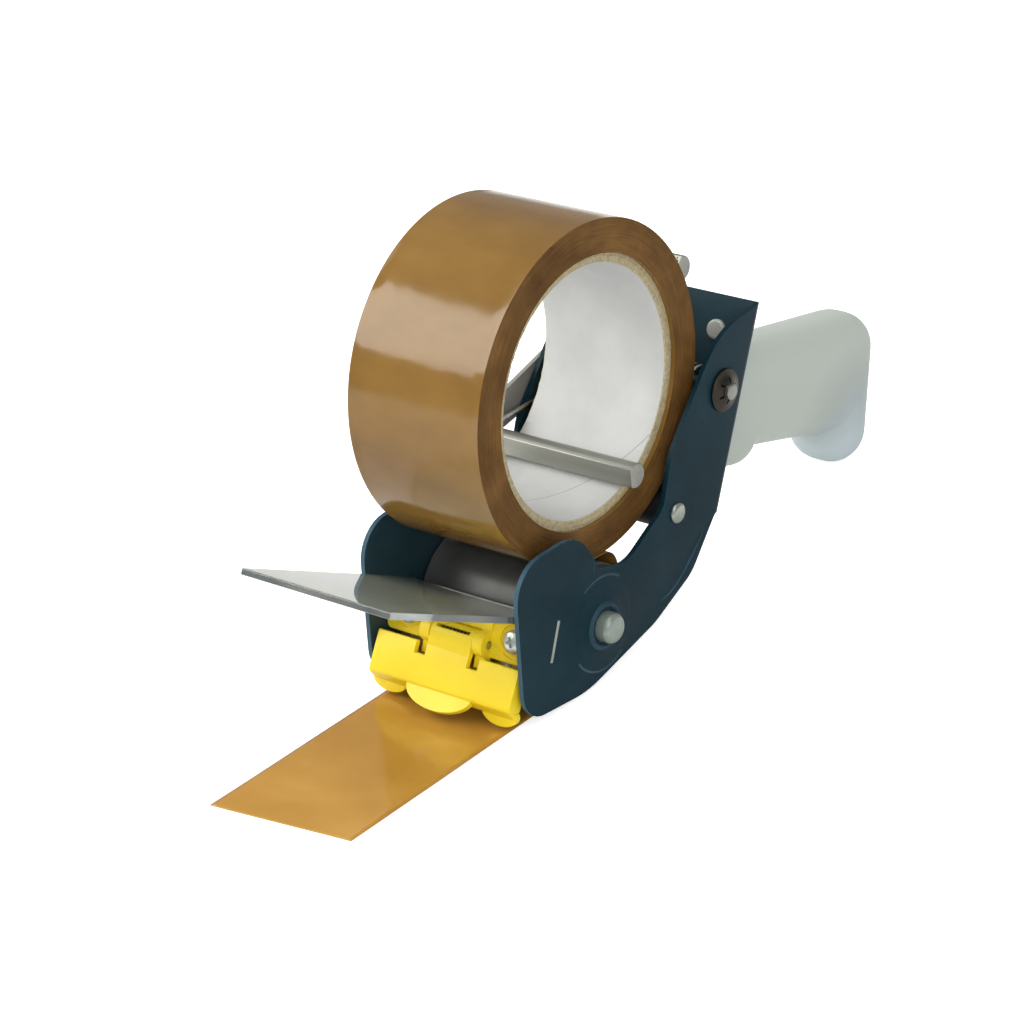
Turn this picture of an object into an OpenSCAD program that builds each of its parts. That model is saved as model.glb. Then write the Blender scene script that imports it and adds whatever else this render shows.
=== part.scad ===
// Handheld dispenser for carton sealing tape, standing on its strip of tape and on its grip.
// Millimetres. X runs along the rollers, -Y is the front where the tape comes out, +Z is up.
// The origin is on the ground, under the middle of the rubber roller's axle.

/* [Tape] */
// Outside diameter of the full roll
roll_d = 103; // [92:1:104]
// Width of the tape
tape_w = 48; // [38:1:50]
// Inside diameter of the cardboard core
core_bore = 76.2; // [70:0.1:78]
// Wall of the cardboard core
core_wall = 3; // [2:0.5:4]
// How far the core's ends lie behind the tape's faces
core_recess = 1.3; // [0.5:0.1:2]
// Thickness drawn for one layer of tape
tape_t = 0.3; // [0.2:0.05:0.4]
// Length of the free strip in front of the roller's axle
strip_l = 113; // [60:1:160]
// Angle of the strip's cut end
strip_skew = 7; // [0:1:12]

/* [Frame] */
// Gap between the two side plates
gap_w = 56; // [54:1:62]
// Thickness of the frame's sheet steel
sheet = 1.5; // [1.2:0.1:2]
// Reach of the side plates in front of the axle
plate_front = 38.5; // [38:0.5:44]
// Height of the side plates' front lobe
lobe_h = 52.2; // [48:0.5:56]
// Clearance of the side plates over the ground
plate_lift = 0.7; // [0.5:0.1:2]
// Distance of the back web's foot behind the axle
web_y = 65.5; // [62:0.5:68]
// Height of the back web's foot
web_z = 38; // [35:0.5:40]
// Length of the back web along its slope
web_l = 56.2; // [54:0.1:66]
// Height along the slope at which the web's sheet begins
web_foot = -9.3; // [-10:0.1:2]
// Lean of the back web from upright
web_lean = 25.2; // [22:0.2:26]
// Outer radius of the folds between web and side plates
fold_r = 4; // [3:0.5:6]
// Radius of the pressed disc round the roller's bolt
press_r = 14; // [12:0.5:16]
// Height of the pressed disc with its boss
press_h = 0.8; // [0.4:0.1:1]
// Radius of the boss in the middle of the pressed disc
boss_r = 7.6; // [7:0.1:9]

/* [Rubber roller] */
// Diameter of the rubber roller
roller_d = 36; // [32:0.5:38]
// Length of the rubber roller
roller_l = 50; // [46:1:52]
// Thickness of the rubber
rubber_t = 4; // [3:0.5:6]
// Diameter of the bolt that carries the roller
bolt_d = 6; // [5:0.5:8]
// Diameter of the bolt's round head
bolt_head = 9.4; // [8:0.2:12]
// Width of the nut's hexagon across its flats
bolt_af = 10; // [9:0.5:13]
// Distance of the roll's axis behind the roller's axis
roll_y = 9.5; // [7:0.5:11]

/* [Lever] */
// Distance of the lever's pivot behind the axle
pivot_y = 66; // [65:0.5:68]
// Height of the lever's pivot
pivot_z = 68.2; // [67:0.2:70]
// Length of the lower arm, from the pivot to the brake bar
arm_l = 44.3; // [43:0.1:46]
// Length of the upper arm, from the pivot to the thumb bar
thumb_l = 38; // [36.8:0.1:40]
// Angle between the two arms
arm_angle = 101.8; // [98:0.1:106]
// Thickness of the lever's plate
lever_t = 1.5; // [1.2:0.1:2]
// Height of the lever's arms
arm_h = 10; // [9:0.5:12]
// Diameter of the D-shaped bars
bar_d = 7.6; // [7:0.1:9]
// Depth of the D-shaped bars from the flat to the back
bar_flat = 6.3; // [5.6:0.1:7]
// Diameter of the pivot's axle
axle_d = 5; // [4:0.5:6]

/* [Cutter] */
// Lean of the cutter's stack from upright
cutter_lean = 23; // [21:0.5:25]
// Distance of the cross plate in front of the axle
cross_y = 22; // [21.5:0.5:24]
// Height of the middle of the cross plate's tabs
cross_z = 23.2; // [22.5:0.1:24]
// Thickness of the cross plate
cross_t = 1.3; // [1.2:0.1:1.6]
// Height of the cross plate's tabs
tab_h = 12.8; // [10:0.2:13]
// Thickness of the clear flap
flap_t = 2; // [1.5:0.1:2.4]
// Width of the clear flap
flap_w = 55; // [50:1:55.4]
// Length of the clear flap in front of its bend
flap_l = 75.5; // [50:0.5:90]
// Rise of the clear flap over level
flap_rise = 25.8; // [24:0.2:30]
// Thickness of the blade
blade_t = 0.8; // [0.6:0.1:1]
// Width of the blade
blade_w = 48; // [46:1:48]
// Distance between the blade's teeth
tooth_pitch = 2; // [1.6:0.2:3]
// Depth of the blade's teeth
tooth_h = 1.8; // [1.2:0.1:2.4]

/* [Blade guard] */
// Width of the guard
guard_w = 53; // [51:0.5:54]
// Wall of the guard
guard_t = 1.8; // [1.5:0.1:2]
// Diameter of the guard's pin
pin_d = 2.5; // [2:0.1:2.6]
// Diameter of the guard's knuckle on the pin
knuckle_d = 7.2; // [7:0.1:7.4]
// Width of the guard's middle tongue and knuckle
tongue_w = 15.6; // [14:0.2:16]
// Width of the notch on each side of the tongue
notch_w = 4.1; // [3.8:0.1:4.5]

/* [Grip] */
// Width of the grip
grip_w = 25; // [22:0.5:30]
// Radius of the grip's rounded edges
grip_edge = 10.8; // [8:0.2:12]
// Distance of the grip's lower rear lobe behind the axle
grip_y = 160.3; // [140:0.1:170]
// Radius of the grip's outline, also of the rear lobe that stands on the ground
grip_r = 11.3; // [10:0.1:12]
// Thickness of the tang inside the grip
tang_t = 2.5; // [2:0.5:3]

/* [Hidden] */

// Clearance between bodies that move past each other
run_gap = 0.3;
// Reach of the flat strip behind the axle
strip_back = 0.8;
// Radial clearance of a pin or shaft that turns in its hole
pin_gap = 0.05;
// Radial clearance of a fixed pin or screw in its hole
fixed_gap = 0.02;
$fn = 96;

plate_x = gap_w / 2 + sheet;
roll_r = roll_d / 2;
core_r = core_bore / 2;
roller_r = roller_d / 2;
bolt_r = bolt_d / 2;
bar_r = bar_d / 2;
axle_r = axle_d / 2;

// The tape passes between roll and roller with a running gap on both of its sides
axle_z = roller_r + run_gap + tape_t;
nip_gap = tape_t + 2 * run_gap;
roll_z = axle_z + sqrt(pow(roll_r + roller_r + nip_gap, 2) - roll_y * roll_y);
nip_angle = atan2(roll_z - axle_z, roll_y);

// Length of a roller's bush inside the hub
bush_l = 10;

// The brake bar lies where the lower arm meets the core's inner wall
bar_reach = core_r - bar_r - run_gap;
pivot_to_roll = [roll_y - pivot_y, roll_z - pivot_z];
pivot_dist = norm(pivot_to_roll);
arm_along = (arm_l * arm_l - bar_reach * bar_reach + pivot_dist * pivot_dist) / (2 * pivot_dist);
lever_a = atan2(pivot_to_roll[1], pivot_to_roll[0]) + acos(arm_along / arm_l) - 180;
lever_x = plate_x + press_h;
lever_out = lever_x + lever_t;
thumb_at = 180 - arm_angle;
bar_end = gap_w / 2;
axle_out = 3.6;
thumb_end = 18.4;

// The ends of the web's outer face, seen from the side
web_top = [web_y + web_l * sin(web_lean), web_z + web_l * cos(web_lean)];
foot_at = [web_y + web_foot * sin(web_lean), web_z + web_foot * cos(web_lean)];

// Corners of a side plate, each with the radius that rounds it
plate_corners = [
    [-plate_front, plate_lift + 3, 9.5],
    [-plate_front + 1.4, lobe_h, 12],
    [0.4, lobe_h, 14],
    [-1.8, 37.6, 5],
    [13, 32.7, 14],
    [32.8, 42.6, 7],
    [38.4, 58, 16],
    [65, 86.8, 26],
    [web_top[0], web_top[1], 1.5],
    [foot_at[0], foot_at[1], 1.2],
    [foot_at[0] - 3.6, foot_at[1] + 0.8, 1.5],
    [44.6, 16.2, 16],
    [25, 8, 24],
    [-9, plate_lift, 40]
];

// The tie between the side plates, behind and under the roll, a clear gap away from it
tie_r = 2.5;
tie_tube_r = 5.5;
tie_gap = 0.95;
tie_angle = 30.8;
tie_y = roll_y + (roll_r + tie_tube_r + tie_gap) * sin(tie_angle);
tie_z = roll_z - (roll_r + tie_tube_r + tie_gap) * cos(tie_angle);
tie_head_r = 3.3;
tie_head_h = 1.5;

// The cutter's stack, as distances in front of the cross plate's middle
stack_flap = cross_t / 2;
stack_blade = stack_flap + flap_t;
stack_base = stack_blade + blade_t;
base_t = 3;
stack_face = stack_base + base_t;
cross_top = tab_h / 2;
cross_low = -14;
leg_low = -7;
base_low = -8.7;
carrier_w = gap_w - 1;
rib_low = -12.4;
rib_out = 2;
screw_ring = [4.2, 5.3, 0.8];
base_top = 3.6;
screw_inset = 4.3;
screw_x = blade_w / 2 - screw_inset;
screw_up = -2.2;
screw_r = 2;
screw_head_r = 3.6;
screw_head_h = 2.2;
blade_tip = -22.5;
pin_out = stack_base + knuckle_d / 2 + run_gap;
pin_up = -5.1;
pin_r = pin_d / 2;
knuckle_r = knuckle_d / 2;
cheek_in = tongue_w / 2 + run_gap;
cheek_out = tongue_w / 2 + notch_w - run_gap;
spring_pocket_r = 2.75;

// The guard's outline, from its top edge to its fold and its lips
guard_top = [-11.1, -8.9];
guard_fold = [-12.8, -21.4];
guard_back = -7;
under = [3.8, -2.6];
notch_low = -12.7;
mid_lip = [12.1, 6.2, -23];
side_lip = [6.4, 3.6, 14];
side_lip_x = 20.8;
side_lip_at = [3.6, -2];

// The grip's discs, as distance behind the axle, height and radius
grip_front = [66, 58.9, grip_r];
grip_heel = [66, 50, grip_r];
grip_crown = [grip_y + 5.6, 38.6, grip_r];
grip_belly = [grip_y - 5.9, 24.4, grip_r];
grip_foot = [grip_y, grip_r, grip_r];
grip_collar = [[78, 44, grip_r], [100.5, 33.6, grip_r - 1]];
grip_slope = atan2(grip_front[1] - grip_crown[1], grip_crown[0] - grip_front[0]);

// The tang: its leg and its riveted head on the web, and its blade inside the grip
tang_leg = [16, 34];
tang_leg_at = 8;
tang_head = [44, 13.5];
tang_head_at = 38.5;
tang_blade = [18, 72, 3];
tang_blade_at = [3, 5];

// Rivets on the web, as sideways place and height along the web
rivet_places = [[-15.4, 44.2], [15.4, 44.2], [-4.5, 14], [4.5, 14]];
rivet_r = 2;
rivet_head_r = 3.2;
rivet_head_h = 1.3;

// Points and radii

function unit(v) = v / norm(v);

// Points of the arc that rounds the corner b between a and c
function corner_arc(a, b, c, r, steps) =
    let(u = unit(a - b), v = unit(c - b), half = acos(u * v) / 2,
        mid = b + unit(u + v) * r / sin(half),
        from = b + u * r / tan(half) - mid, to = b + v * r / tan(half) - mid,
        a0 = atan2(from[1], from[0]), turn = (atan2(to[1], to[0]) - a0 + 900) % 360 - 180)
    [for (i = [0:steps]) mid + r * [cos(a0 + turn * i / steps), sin(a0 + turn * i / steps)]];

// Outline through corners given as [across, up, radius]
function rounded(corners, steps = 8) =
    let(n = len(corners), p = [for (c = corners) [c[0], c[1]]])
    [for (i = [0:n - 1]) each
        corners[i][2] == 0 ? [p[i]]
        : corner_arc(p[(i + n - 1) % n], p[i], p[(i + 1) % n], corners[i][2], steps)];

// A direction across each point of a path, carried along without twisting
function carried(tangents, i, found) =
    i == len(tangents) ? found
    : let(last = found[i - 1], t = tangents[i])
      carried(tangents, i + 1, concat(found, [unit(last - (last * t) * t)]));

function path_tangents(path) =
    let(n = len(path))
    [for (i = [0:n - 1]) unit(path[min(i + 1, n - 1)] - path[max(i - 1, 0)])];

// Least distance between turns of a wire, measured on its points
function wire_gap(path, r, skip) =
    let(n = len(path))
    min([for (i = [0:n - 1]) for (j = [i + skip:1:n - 1]) norm(path[i] - path[j])]) - 2 * r;

// Placing

module along_x(from, length) {
    translate([from, 0, 0]) rotate([90, 0, 90]) linear_extrude(length) children();
}

module rod_x(from, to, r, y = 0, z = 0) {
    translate([from, y, z]) rotate([0, 90, 0]) cylinder(r = r, h = to - from);
}

module both_sides() {
    children();
    mirror([1, 0, 0]) children();
}

module on_web() {
    translate([0, web_y, web_z]) rotate([-web_lean, 0, 0]) children();
}

module on_cutter() {
    translate([0, -cross_y, cross_z]) rotate([-cutter_lean, 0, 0]) children();
}

module on_lever() {
    translate([0, pivot_y, pivot_z]) rotate([lever_a, 0, 0]) children();
}

module wire(path, r, first, sides = 6) {
    tangents = path_tangents(path);
    across = carried(tangents, 1, [unit(first - (first * tangents[0]) * tangents[0])]);
    n = len(path);
    points = [for (i = [0:n - 1]) for (j = [0:sides - 1])
        path[i] + r * (cos(360 * j / sides) * across[i]
                     + sin(360 * j / sides) * cross(tangents[i], across[i]))];
    walls = [for (i = [0:n - 2]) for (j = [0:sides - 1])
        let(a = i * sides + j, b = i * sides + (j + 1) % sides)
        each [[a, a + sides, b + sides], [a, b + sides, b]]];
    ends = [for (j = [1:sides - 2]) each
        [[0, j, j + 1], [(n - 1) * sides, (n - 1) * sides + j + 1, (n - 1) * sides + j]]];
    polyhedron(points = points, faces = concat(walls, ends), convexity = 10);
}

// Frame

// The pressed disc's face, rising from low to a boss, set in from the outer face by inset
module press_shape(inset, low) {
    rotate_extrude() polygon([[0, -low], [press_r + 1 - inset, -low],
        [press_r + 1 - inset, -press_h / 4], [press_r - 2 - inset, press_h / 2],
        [boss_r + 1 - inset, press_h / 2], [boss_r - inset, press_h], [0, press_h]]);
}

module side_plate() {
    along_x(gap_w / 2, sheet) polygon(rounded(plate_corners));
    translate([plate_x, 0, axle_z]) rotate([0, 90, 0]) press_shape(0, sheet / 2);
}

module plate_cuts() {
    span = plate_x + 2;
    rod_x(-span, span, bolt_r + fixed_gap, 0, axle_z);
    rod_x(-span, span, axle_r + pin_gap, pivot_y, pivot_z);
    rod_x(-span, span, tie_r + fixed_gap, tie_y, tie_z);
    both_sides()
        translate([gap_w / 2, 0, axle_z]) rotate([0, 90, 0]) press_shape(1, 2 * sheet);
    on_cutter()
        translate([-span, -cross_t / 2 - fixed_gap, -tab_h / 2 - fixed_gap])
            cube([2 * span, cross_t + 2 * fixed_gap, tab_h + 2 * fixed_gap]);
    for (p = rivet_places)
        on_web() translate([p[0], -span / 2, p[1]]) rotate([-90, 0, 0])
            cylinder(r = rivet_r + fixed_gap, h = span);
}

// The web and the fillets inside its folds, seen along the slope, lapping into both plates
module web_profile() {
    inner = fold_r - sheet;
    lap = (gap_w + sheet) / 2;
    low = -fold_r - inner / 2;
    fillet = [for (a = [10:10:90]) [gap_w / 2, -sheet] - inner * [1 - cos(a), 1 - sin(a)]];
    other = [for (i = [len(fillet) - 1:-1:0]) [-fillet[i][0], fillet[i][1]]];
    polygon(concat([[-lap, low], [-lap, 0], [lap, 0], [lap, low]], fillet, other));
}

// What rounds the outside of a fold away
module fold_cut() {
    polygon(concat([for (a = [0:10:90]) [plate_x, 0] + fold_r * [cos(a) - 1, sin(a) - 1]],
        [[plate_x - fold_r, 2], [plate_x + 2, 2], [plate_x + 2, -fold_r]]));
}

module frame() {
    color([0.13, 0.23, 0.29])
    difference() {
        union() {
            both_sides() side_plate();
            intersection() {
                on_web() translate([0, 0, web_foot])
                    linear_extrude(web_l - web_foot + 5) web_profile();
                along_x(-plate_x - 1, 2 * plate_x + 2) polygon(rounded(plate_corners));
            }
        }
        on_web() both_sides() translate([0, 0, web_foot - 1])
            linear_extrude(web_l - web_foot + 20) fold_cut();
        plate_cuts();
    }
}

module tie_rod() {
    color("silver") {
        rod_x(-plate_x, plate_x, tie_r, tie_y, tie_z);
        both_sides()
            translate([plate_x, tie_y, tie_z]) rotate([0, 90, 0])
                rotate_extrude() polygon(rounded([[0, 0, 0], [tie_head_r, 0, 0],
                    [tie_head_r, tie_head_h, 1.2], [0, tie_head_h, 0]]));
    }
}

module tie_spacer() {
    color([0.07, 0.07, 0.08])
    difference() {
        rod_x(-gap_w / 2, gap_w / 2, tie_tube_r, tie_y, tie_z);
        rod_x(-gap_w, gap_w, tie_r + fixed_gap, tie_y, tie_z);
    }
}

// Grip

// A disc across X with rounded edges, from [y, z, radius]
module grip_disc(d) {
    edge = min(grip_edge, d[2] - 0.6);
    translate([0, d[0], d[1]]) rotate([0, 90, 0]) rotate_extrude($fn = 40)
        polygon(rounded([[0, -grip_w / 2, 0], [d[2], -grip_w / 2, edge],
                         [d[2], grip_w / 2, edge], [0, grip_w / 2, 0]], 5));
}

// A flat bar from y, z with its width, height and depth, grown by extra on every side
module tang_bar(size, depth, y, z, extra) {
    translate([-size[0] / 2 - extra, y - extra, z - extra])
        cube([size[0] + 2 * extra, depth + 2 * extra, size[1] + 2 * extra]);
}

module tang_shape(extra) {
    on_web() {
        tang_bar(tang_leg, tang_t, 0, tang_leg_at, extra);
        tang_bar(tang_head, tang_t, 0, tang_head_at, extra);
    }
    translate([0, web_y, web_z]) rotate([-grip_slope, 0, 0])
        tang_bar([tang_blade[0], tang_blade[2]], tang_blade[1], tang_blade_at[0],
                 tang_blade_at[1], extra);
}

module grip() {
    color([0.72, 0.75, 0.71])
    difference() {
        union() {
            hull() {
                grip_disc(grip_front);
                grip_disc(grip_heel);
                grip_disc(grip_crown);
                grip_disc(grip_belly);
            }
            hull() { grip_disc(grip_crown); grip_disc(grip_foot); }
            hull() { grip_disc(grip_collar[0]); grip_disc(grip_collar[1]); }
        }
        on_web() translate([-60, -200, -200]) cube([120, 200, 400]);
        tang_shape(run_gap);
        for (p = rivet_places)
            on_web() translate([p[0], -run_gap, p[1]]) rotate([-90, 0, 0])
                cylinder(r = rivet_head_r + run_gap, h = tang_t + rivet_head_h + 2 * run_gap);
    }
}

module grip_tang() {
    color("silver")
    difference() {
        tang_shape(0);
        for (p = rivet_places)
            on_web() translate([p[0], -1, p[1]]) rotate([-90, 0, 0])
                cylinder(r = rivet_r + fixed_gap, h = tang_t + 3);
    }
}

module web_rivets() {
    color("silver")
    for (p = rivet_places)
        on_web() translate([p[0], -sheet - fixed_gap, p[1]]) rotate([-90, 0, 0]) {
            cylinder(r = rivet_r, h = sheet + tang_t + 2 * fixed_gap);
            mirror([0, 0, 1]) rivet_head();
            translate([0, 0, sheet + tang_t + 2 * fixed_gap]) rivet_head();
        }
}

module rivet_head() {
    rotate_extrude() polygon(rounded([[0, 0, 0], [rivet_head_r, 0, 0],
        [rivet_head_r, rivet_head_h, 1], [0, rivet_head_h, 0]]));
}

// Cutter

module cutter_holes(r) {
    for (s = [-1, 1])
        translate([s * screw_x, 0, screw_up]) rotate([90, 0, 0])
            cylinder(r = r, h = 40, center = true);
}

module cross_plate() {
    color([0.62, 0.64, 0.66])
    on_cutter() difference() {
        union() {
            translate([-plate_x, -cross_t / 2, -tab_h / 2]) cube([2 * plate_x, cross_t, tab_h]);
            translate([-gap_w / 2, -cross_t / 2, cross_low])
                cube([gap_w, cross_t, cross_top - cross_low]);
        }
        cutter_holes(screw_r + fixed_gap);
    }
}

// One tooth per pitch, counted from the middle, between two plain ends
module blade_outline() {
    count = floor((blade_w - 2) / tooth_pitch);
    start = -count * tooth_pitch / 2;
    root = blade_tip + tooth_h;
    teeth = [for (i = [0:count - 1]) each
        [[start + i * tooth_pitch, root], [start + (i + 0.5) * tooth_pitch, blade_tip]]];
    polygon(concat([[-blade_w / 2, base_top - 1], [-blade_w / 2, root]], teeth,
                   [[-start, root], [blade_w / 2, root], [blade_w / 2, base_top - 1]]));
}

module cutter_blade() {
    color("lightgray")
    on_cutter() difference() {
        translate([0, -stack_blade, 0]) rotate([90, 0, 0]) linear_extrude(blade_t) blade_outline();
        cutter_holes(screw_r + fixed_gap);
    }
}

module clear_flap() {
    tilt = flap_rise - cutter_lean;
    out = [-cos(tilt), sin(tilt)];
    down = [-sin(tilt), -cos(tilt)];
    back_top = [-stack_flap, cross_top + 0.1];
    front_top = back_top + flap_l * out;
    front_low = front_top + flap_t * down;
    inner = [-stack_flap - flap_t, back_top[1] - flap_t / cos(tilt) + flap_t * tan(tilt)];
    color([0.85, 0.92, 0.95, 0.45])
    on_cutter() difference() {
        along_x(-flap_w / 2, flap_w)
            polygon(rounded([[-stack_flap, leg_low, 0], [back_top[0], back_top[1], flap_t + 1],
                [front_top[0], front_top[1], 0.4], [front_low[0], front_low[1], 0.4],
                [inner[0], inner[1], 1], [-stack_flap - flap_t, leg_low, 0]]));
        cutter_holes(screw_r + fixed_gap);
    }
}

module guard_carrier() {
    color([0.93, 0.82, 0.1])
    on_cutter() difference() {
        union() {
            translate([0, -stack_base, 0]) rotate([90, 0, 0]) linear_extrude(base_t)
                polygon(rounded([[-carrier_w / 2, base_low, 2], [carrier_w / 2, base_low, 2],
                                 [carrier_w / 2, base_top, 2.5], [-carrier_w / 2, base_top, 2.5]]));
            both_sides() cheek();
        }
        both_sides() screw_groove();
        rod_x(-gap_w, gap_w, pin_r + fixed_gap, -pin_out, pin_up);
        rod_x(-cheek_in, cheek_in, knuckle_r + run_gap, -pin_out, pin_up);
        translate([-cheek_in, -pin_out - knuckle_d, base_low - 10])
            cube([2 * cheek_in, knuckle_d + knuckle_r + run_gap, 10 + pin_up - base_low]);
        cutter_holes(screw_r + fixed_gap);
    }
}

// A rounded ear that holds the pin's end
module cheek() {
    cheek_r = knuckle_r + 0.3;
    rod_x(cheek_in, cheek_out, cheek_r, -pin_out, pin_up);
    translate([cheek_in, -pin_out, pin_up - cheek_r])
        cube([cheek_out - cheek_in, pin_out - stack_face + 0.5, 2 * cheek_r]);
    translate([cheek_in, -pin_out, pin_up])
        cube([cheek_out - cheek_in, pin_out - stack_face + 0.5, base_top - pin_up]);
    translate([cheek_in, -stack_face - rib_out, rib_low])
        cube([cheek_out - cheek_in, rib_out + 1, pin_up - rib_low]);
}

// A ring sunk into the carrier round each screw's head
module screw_groove() {
    translate([screw_x, -stack_face + screw_ring[2], screw_up]) rotate([90, 0, 0]) difference() {
        cylinder(r = screw_ring[1], h = screw_ring[2] + 1);
        translate([0, 0, -1]) cylinder(r = screw_ring[0], h = screw_ring[2] + 3);
    }
}

module carrier_screws() {
    color("silver")
    on_cutter() both_sides()
        translate([screw_x, -stack_face, screw_up]) rotate([90, 0, 0]) difference() {
            union() {
                rotate_extrude() polygon(rounded([[0, 0, 0], [screw_head_r, 0, 0],
                    [screw_head_r, screw_head_h, 1.4], [0, screw_head_h, 0]]));
                mirror([0, 0, 1]) cylinder(r = screw_r, h = stack_face + cross_t / 2 + 1);
            }
            for (a = [20, 110])
                rotate([0, 0, a]) translate([-1.9, -0.45, screw_head_h - 1.2]) cube([3.8, 0.9, 2]);
        }
}

module guard_pin() {
    color("silver")
    on_cutter() rod_x(-cheek_out, cheek_out, pin_r, -pin_out, pin_up);
}

// Blade guard

// The guard's wall seen from the side, without its lips
module guard_wall() {
    slope = unit(guard_fold - guard_top);
    inward = [-slope[1], slope[0]] * guard_t;
    polygon(rounded([[guard_top[0], guard_top[1], 0.6], [guard_fold[0], guard_fold[1], 1.6],
        [guard_fold[0] + under[0], guard_fold[1] + under[1], 0.4],
        [guard_fold[0] + under[0] + 1.2, guard_fold[1] + under[1] + 1.4, 0.3],
        [guard_fold[0] + inward[0] + 0.3, guard_fold[1] + inward[1] + 0.6, 0.5],
        [guard_top[0] + inward[0], guard_top[1] + inward[1], 0.6]], 5));
}

// A rounded lip, as [half width, depth, lean], that hangs from a place by the fold at x
module lip(shape, x, at = [0.7, 0]) {
    translate([x, guard_fold[0] + at[0], guard_fold[1] + at[1]]) rotate([shape[2], 0, 0])
        intersection() {
            lip_plate(shape[0], shape[1]);
            translate([-50, -5, -50]) cube([100, 10, 51.2]);
        }
}

// Half of an ellipse, as a plate across Y
module lip_plate(half, depth) {
    rotate([90, 0, 0]) translate([0, 0, -guard_t]) linear_extrude(guard_t)
        polygon([for (a = [0:10:350]) [half * cos(a), depth * sin(a)]]);
}

module guard_end() {
    x = guard_w / 2 - guard_t;
    along_x(x, guard_t) polygon(rounded([
        [guard_top[0] + 0.2, notch_low + 1, 0.5], [guard_fold[0] + 0.6, guard_fold[1] + 0.4, 1],
        [guard_fold[0] + 3.2, guard_fold[1] - 2.2, 1], [guard_back, guard_fold[1] + 0.4, 2],
        [guard_back - 1, notch_low - 1.5, 2]], 5));
}

module blade_guard() {
    pin = [-pin_out, pin_up];
    color([0.98, 0.88, 0.15])
    on_cutter() difference() {
        union() {
            difference() {
                along_x(-guard_w / 2, guard_w) guard_wall();
                both_sides() translate([tongue_w / 2, -30, notch_low])
                    cube([notch_w, 30, 20]);
            }
            along_x(-tongue_w / 2, tongue_w) polygon([
                [pin[0] - knuckle_r, pin[1]], guard_top + [0, -1], guard_top + [guard_t, -1],
                [pin[0] - knuckle_r + 2.4, pin[1] - 1]]);
            rod_x(-tongue_w / 2, tongue_w / 2, knuckle_r, pin[0], pin[1]);
            lip(mid_lip, 0);
            both_sides() {
                lip(side_lip, side_lip_x, side_lip_at);
                guard_end();
            }
        }
        rod_x(-gap_w, gap_w, pin_r + pin_gap, pin[0], pin[1]);
        rod_x(-tongue_w / 2 + 1.6, tongue_w / 2 - 1.6, spring_pocket_r, pin[0], pin[1]);
        translate([0, pin[0], pin[1]]) rotate([-40, 0, 0])
            translate([-tongue_w / 2 + 1.6, -knuckle_d, -0.7]) cube([tongue_w - 3.2, knuckle_d, 1.4]);
    }
}

// A spring's coil round X, from one x to the other, as [x, y, z] points
function coil(from, to, r, turns, start, y, z) =
    let(n = turns * 8)
    [for (i = [0:n]) [from + (to - from) * i / n,
                      y + r * cos(start + 360 * i / 8), z + r * sin(start + 360 * i / 8)]];

module guard_spring() {
    wire_r = 0.35;
    coil_r = 2.15;
    reach = tongue_w / 2 - 2.4;
    turns = 8;
    path = coil(-reach, reach, coil_r, turns, 90, -pin_out, pin_up);
    echo(guard_spring_least_gap = wire_gap(path, wire_r, 5));
    color("silver") on_cutter() wire(path, wire_r, [0, 0, 1]);
}

// Rubber roller

module rubber_sleeve() {
    color([0.06, 0.06, 0.06])
    difference() {
        rod_x(-roller_l / 2, roller_l / 2, roller_r, 0, axle_z);
        rod_x(-roller_l, roller_l, roller_r - rubber_t, 0, axle_z);
    }
}

module roller_hub() {
    hub_r = roller_r - rubber_t;
    bush_r = bolt_r + 3;
    pocket = 6;
    color([0.2, 0.2, 0.22])
    difference() {
        rod_x(-roller_l / 2, roller_l / 2, hub_r, 0, axle_z);
        rod_x(-roller_l, roller_l, bush_r, 0, axle_z);
        both_sides() difference() {
            rod_x(roller_l / 2 - pocket, roller_l, hub_r - 2, 0, axle_z);
            rod_x(roller_l / 2 - pocket - 1, roller_l + 1, bush_r + 2, 0, axle_z);
        }
    }
}

module roller_bushes() {
    bush_r = bolt_r + 3;
    color("ivory")
    both_sides() difference() {
        union() {
            rod_x(roller_l / 2 - bush_l, roller_l / 2, bush_r, 0, axle_z);
            rod_x(roller_l / 2, gap_w / 2 - run_gap, bush_r + 2, 0, axle_z);
        }
        rod_x(0, gap_w, bolt_r + pin_gap, 0, axle_z);
    }
}

module roller_bolt() {
    head_h = 4.6;
    color("silver") {
        rod_x(-plate_x - press_h - 7, plate_x + press_h, bolt_r, 0, axle_z);
        translate([plate_x + press_h, 0, axle_z]) rotate([0, 90, 0]) rotate_extrude()
            polygon(rounded([[0, 0, 0], [bolt_head / 2, 0, 0], [bolt_head / 2, head_h, 1],
                             [0, head_h, 0]]));
    }
}

module hexagon(across, height) {
    intersection() {
        cylinder(d = across / cos(30), h = height, $fn = 6);
        cylinder(r1 = across * 0.7, r2 = across * 0.51, h = height);
    }
}

module roller_nut() {
    color("silver")
    translate([-plate_x - press_h, 0, axle_z]) rotate([0, -90, 0]) difference() {
        hexagon(bolt_af, 5);
        translate([0, 0, -1]) cylinder(r = bolt_r + fixed_gap, h = 8);
    }
}

// Tape

module tape_winding() {
    color([0.62, 0.46, 0.24])
    difference() {
        rod_x(-tape_w / 2, tape_w / 2, roll_r, roll_y, roll_z);
        rod_x(-tape_w, tape_w, core_r + core_wall, roll_y, roll_z);
    }
}

module tape_core() {
    half = tape_w / 2 - core_recess;
    color([0.8, 0.77, 0.68])
    difference() {
        rod_x(-half, half, core_r + core_wall, roll_y, roll_z);
        rod_x(-tape_w, tape_w, core_r, roll_y, roll_z);
    }
}

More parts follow.
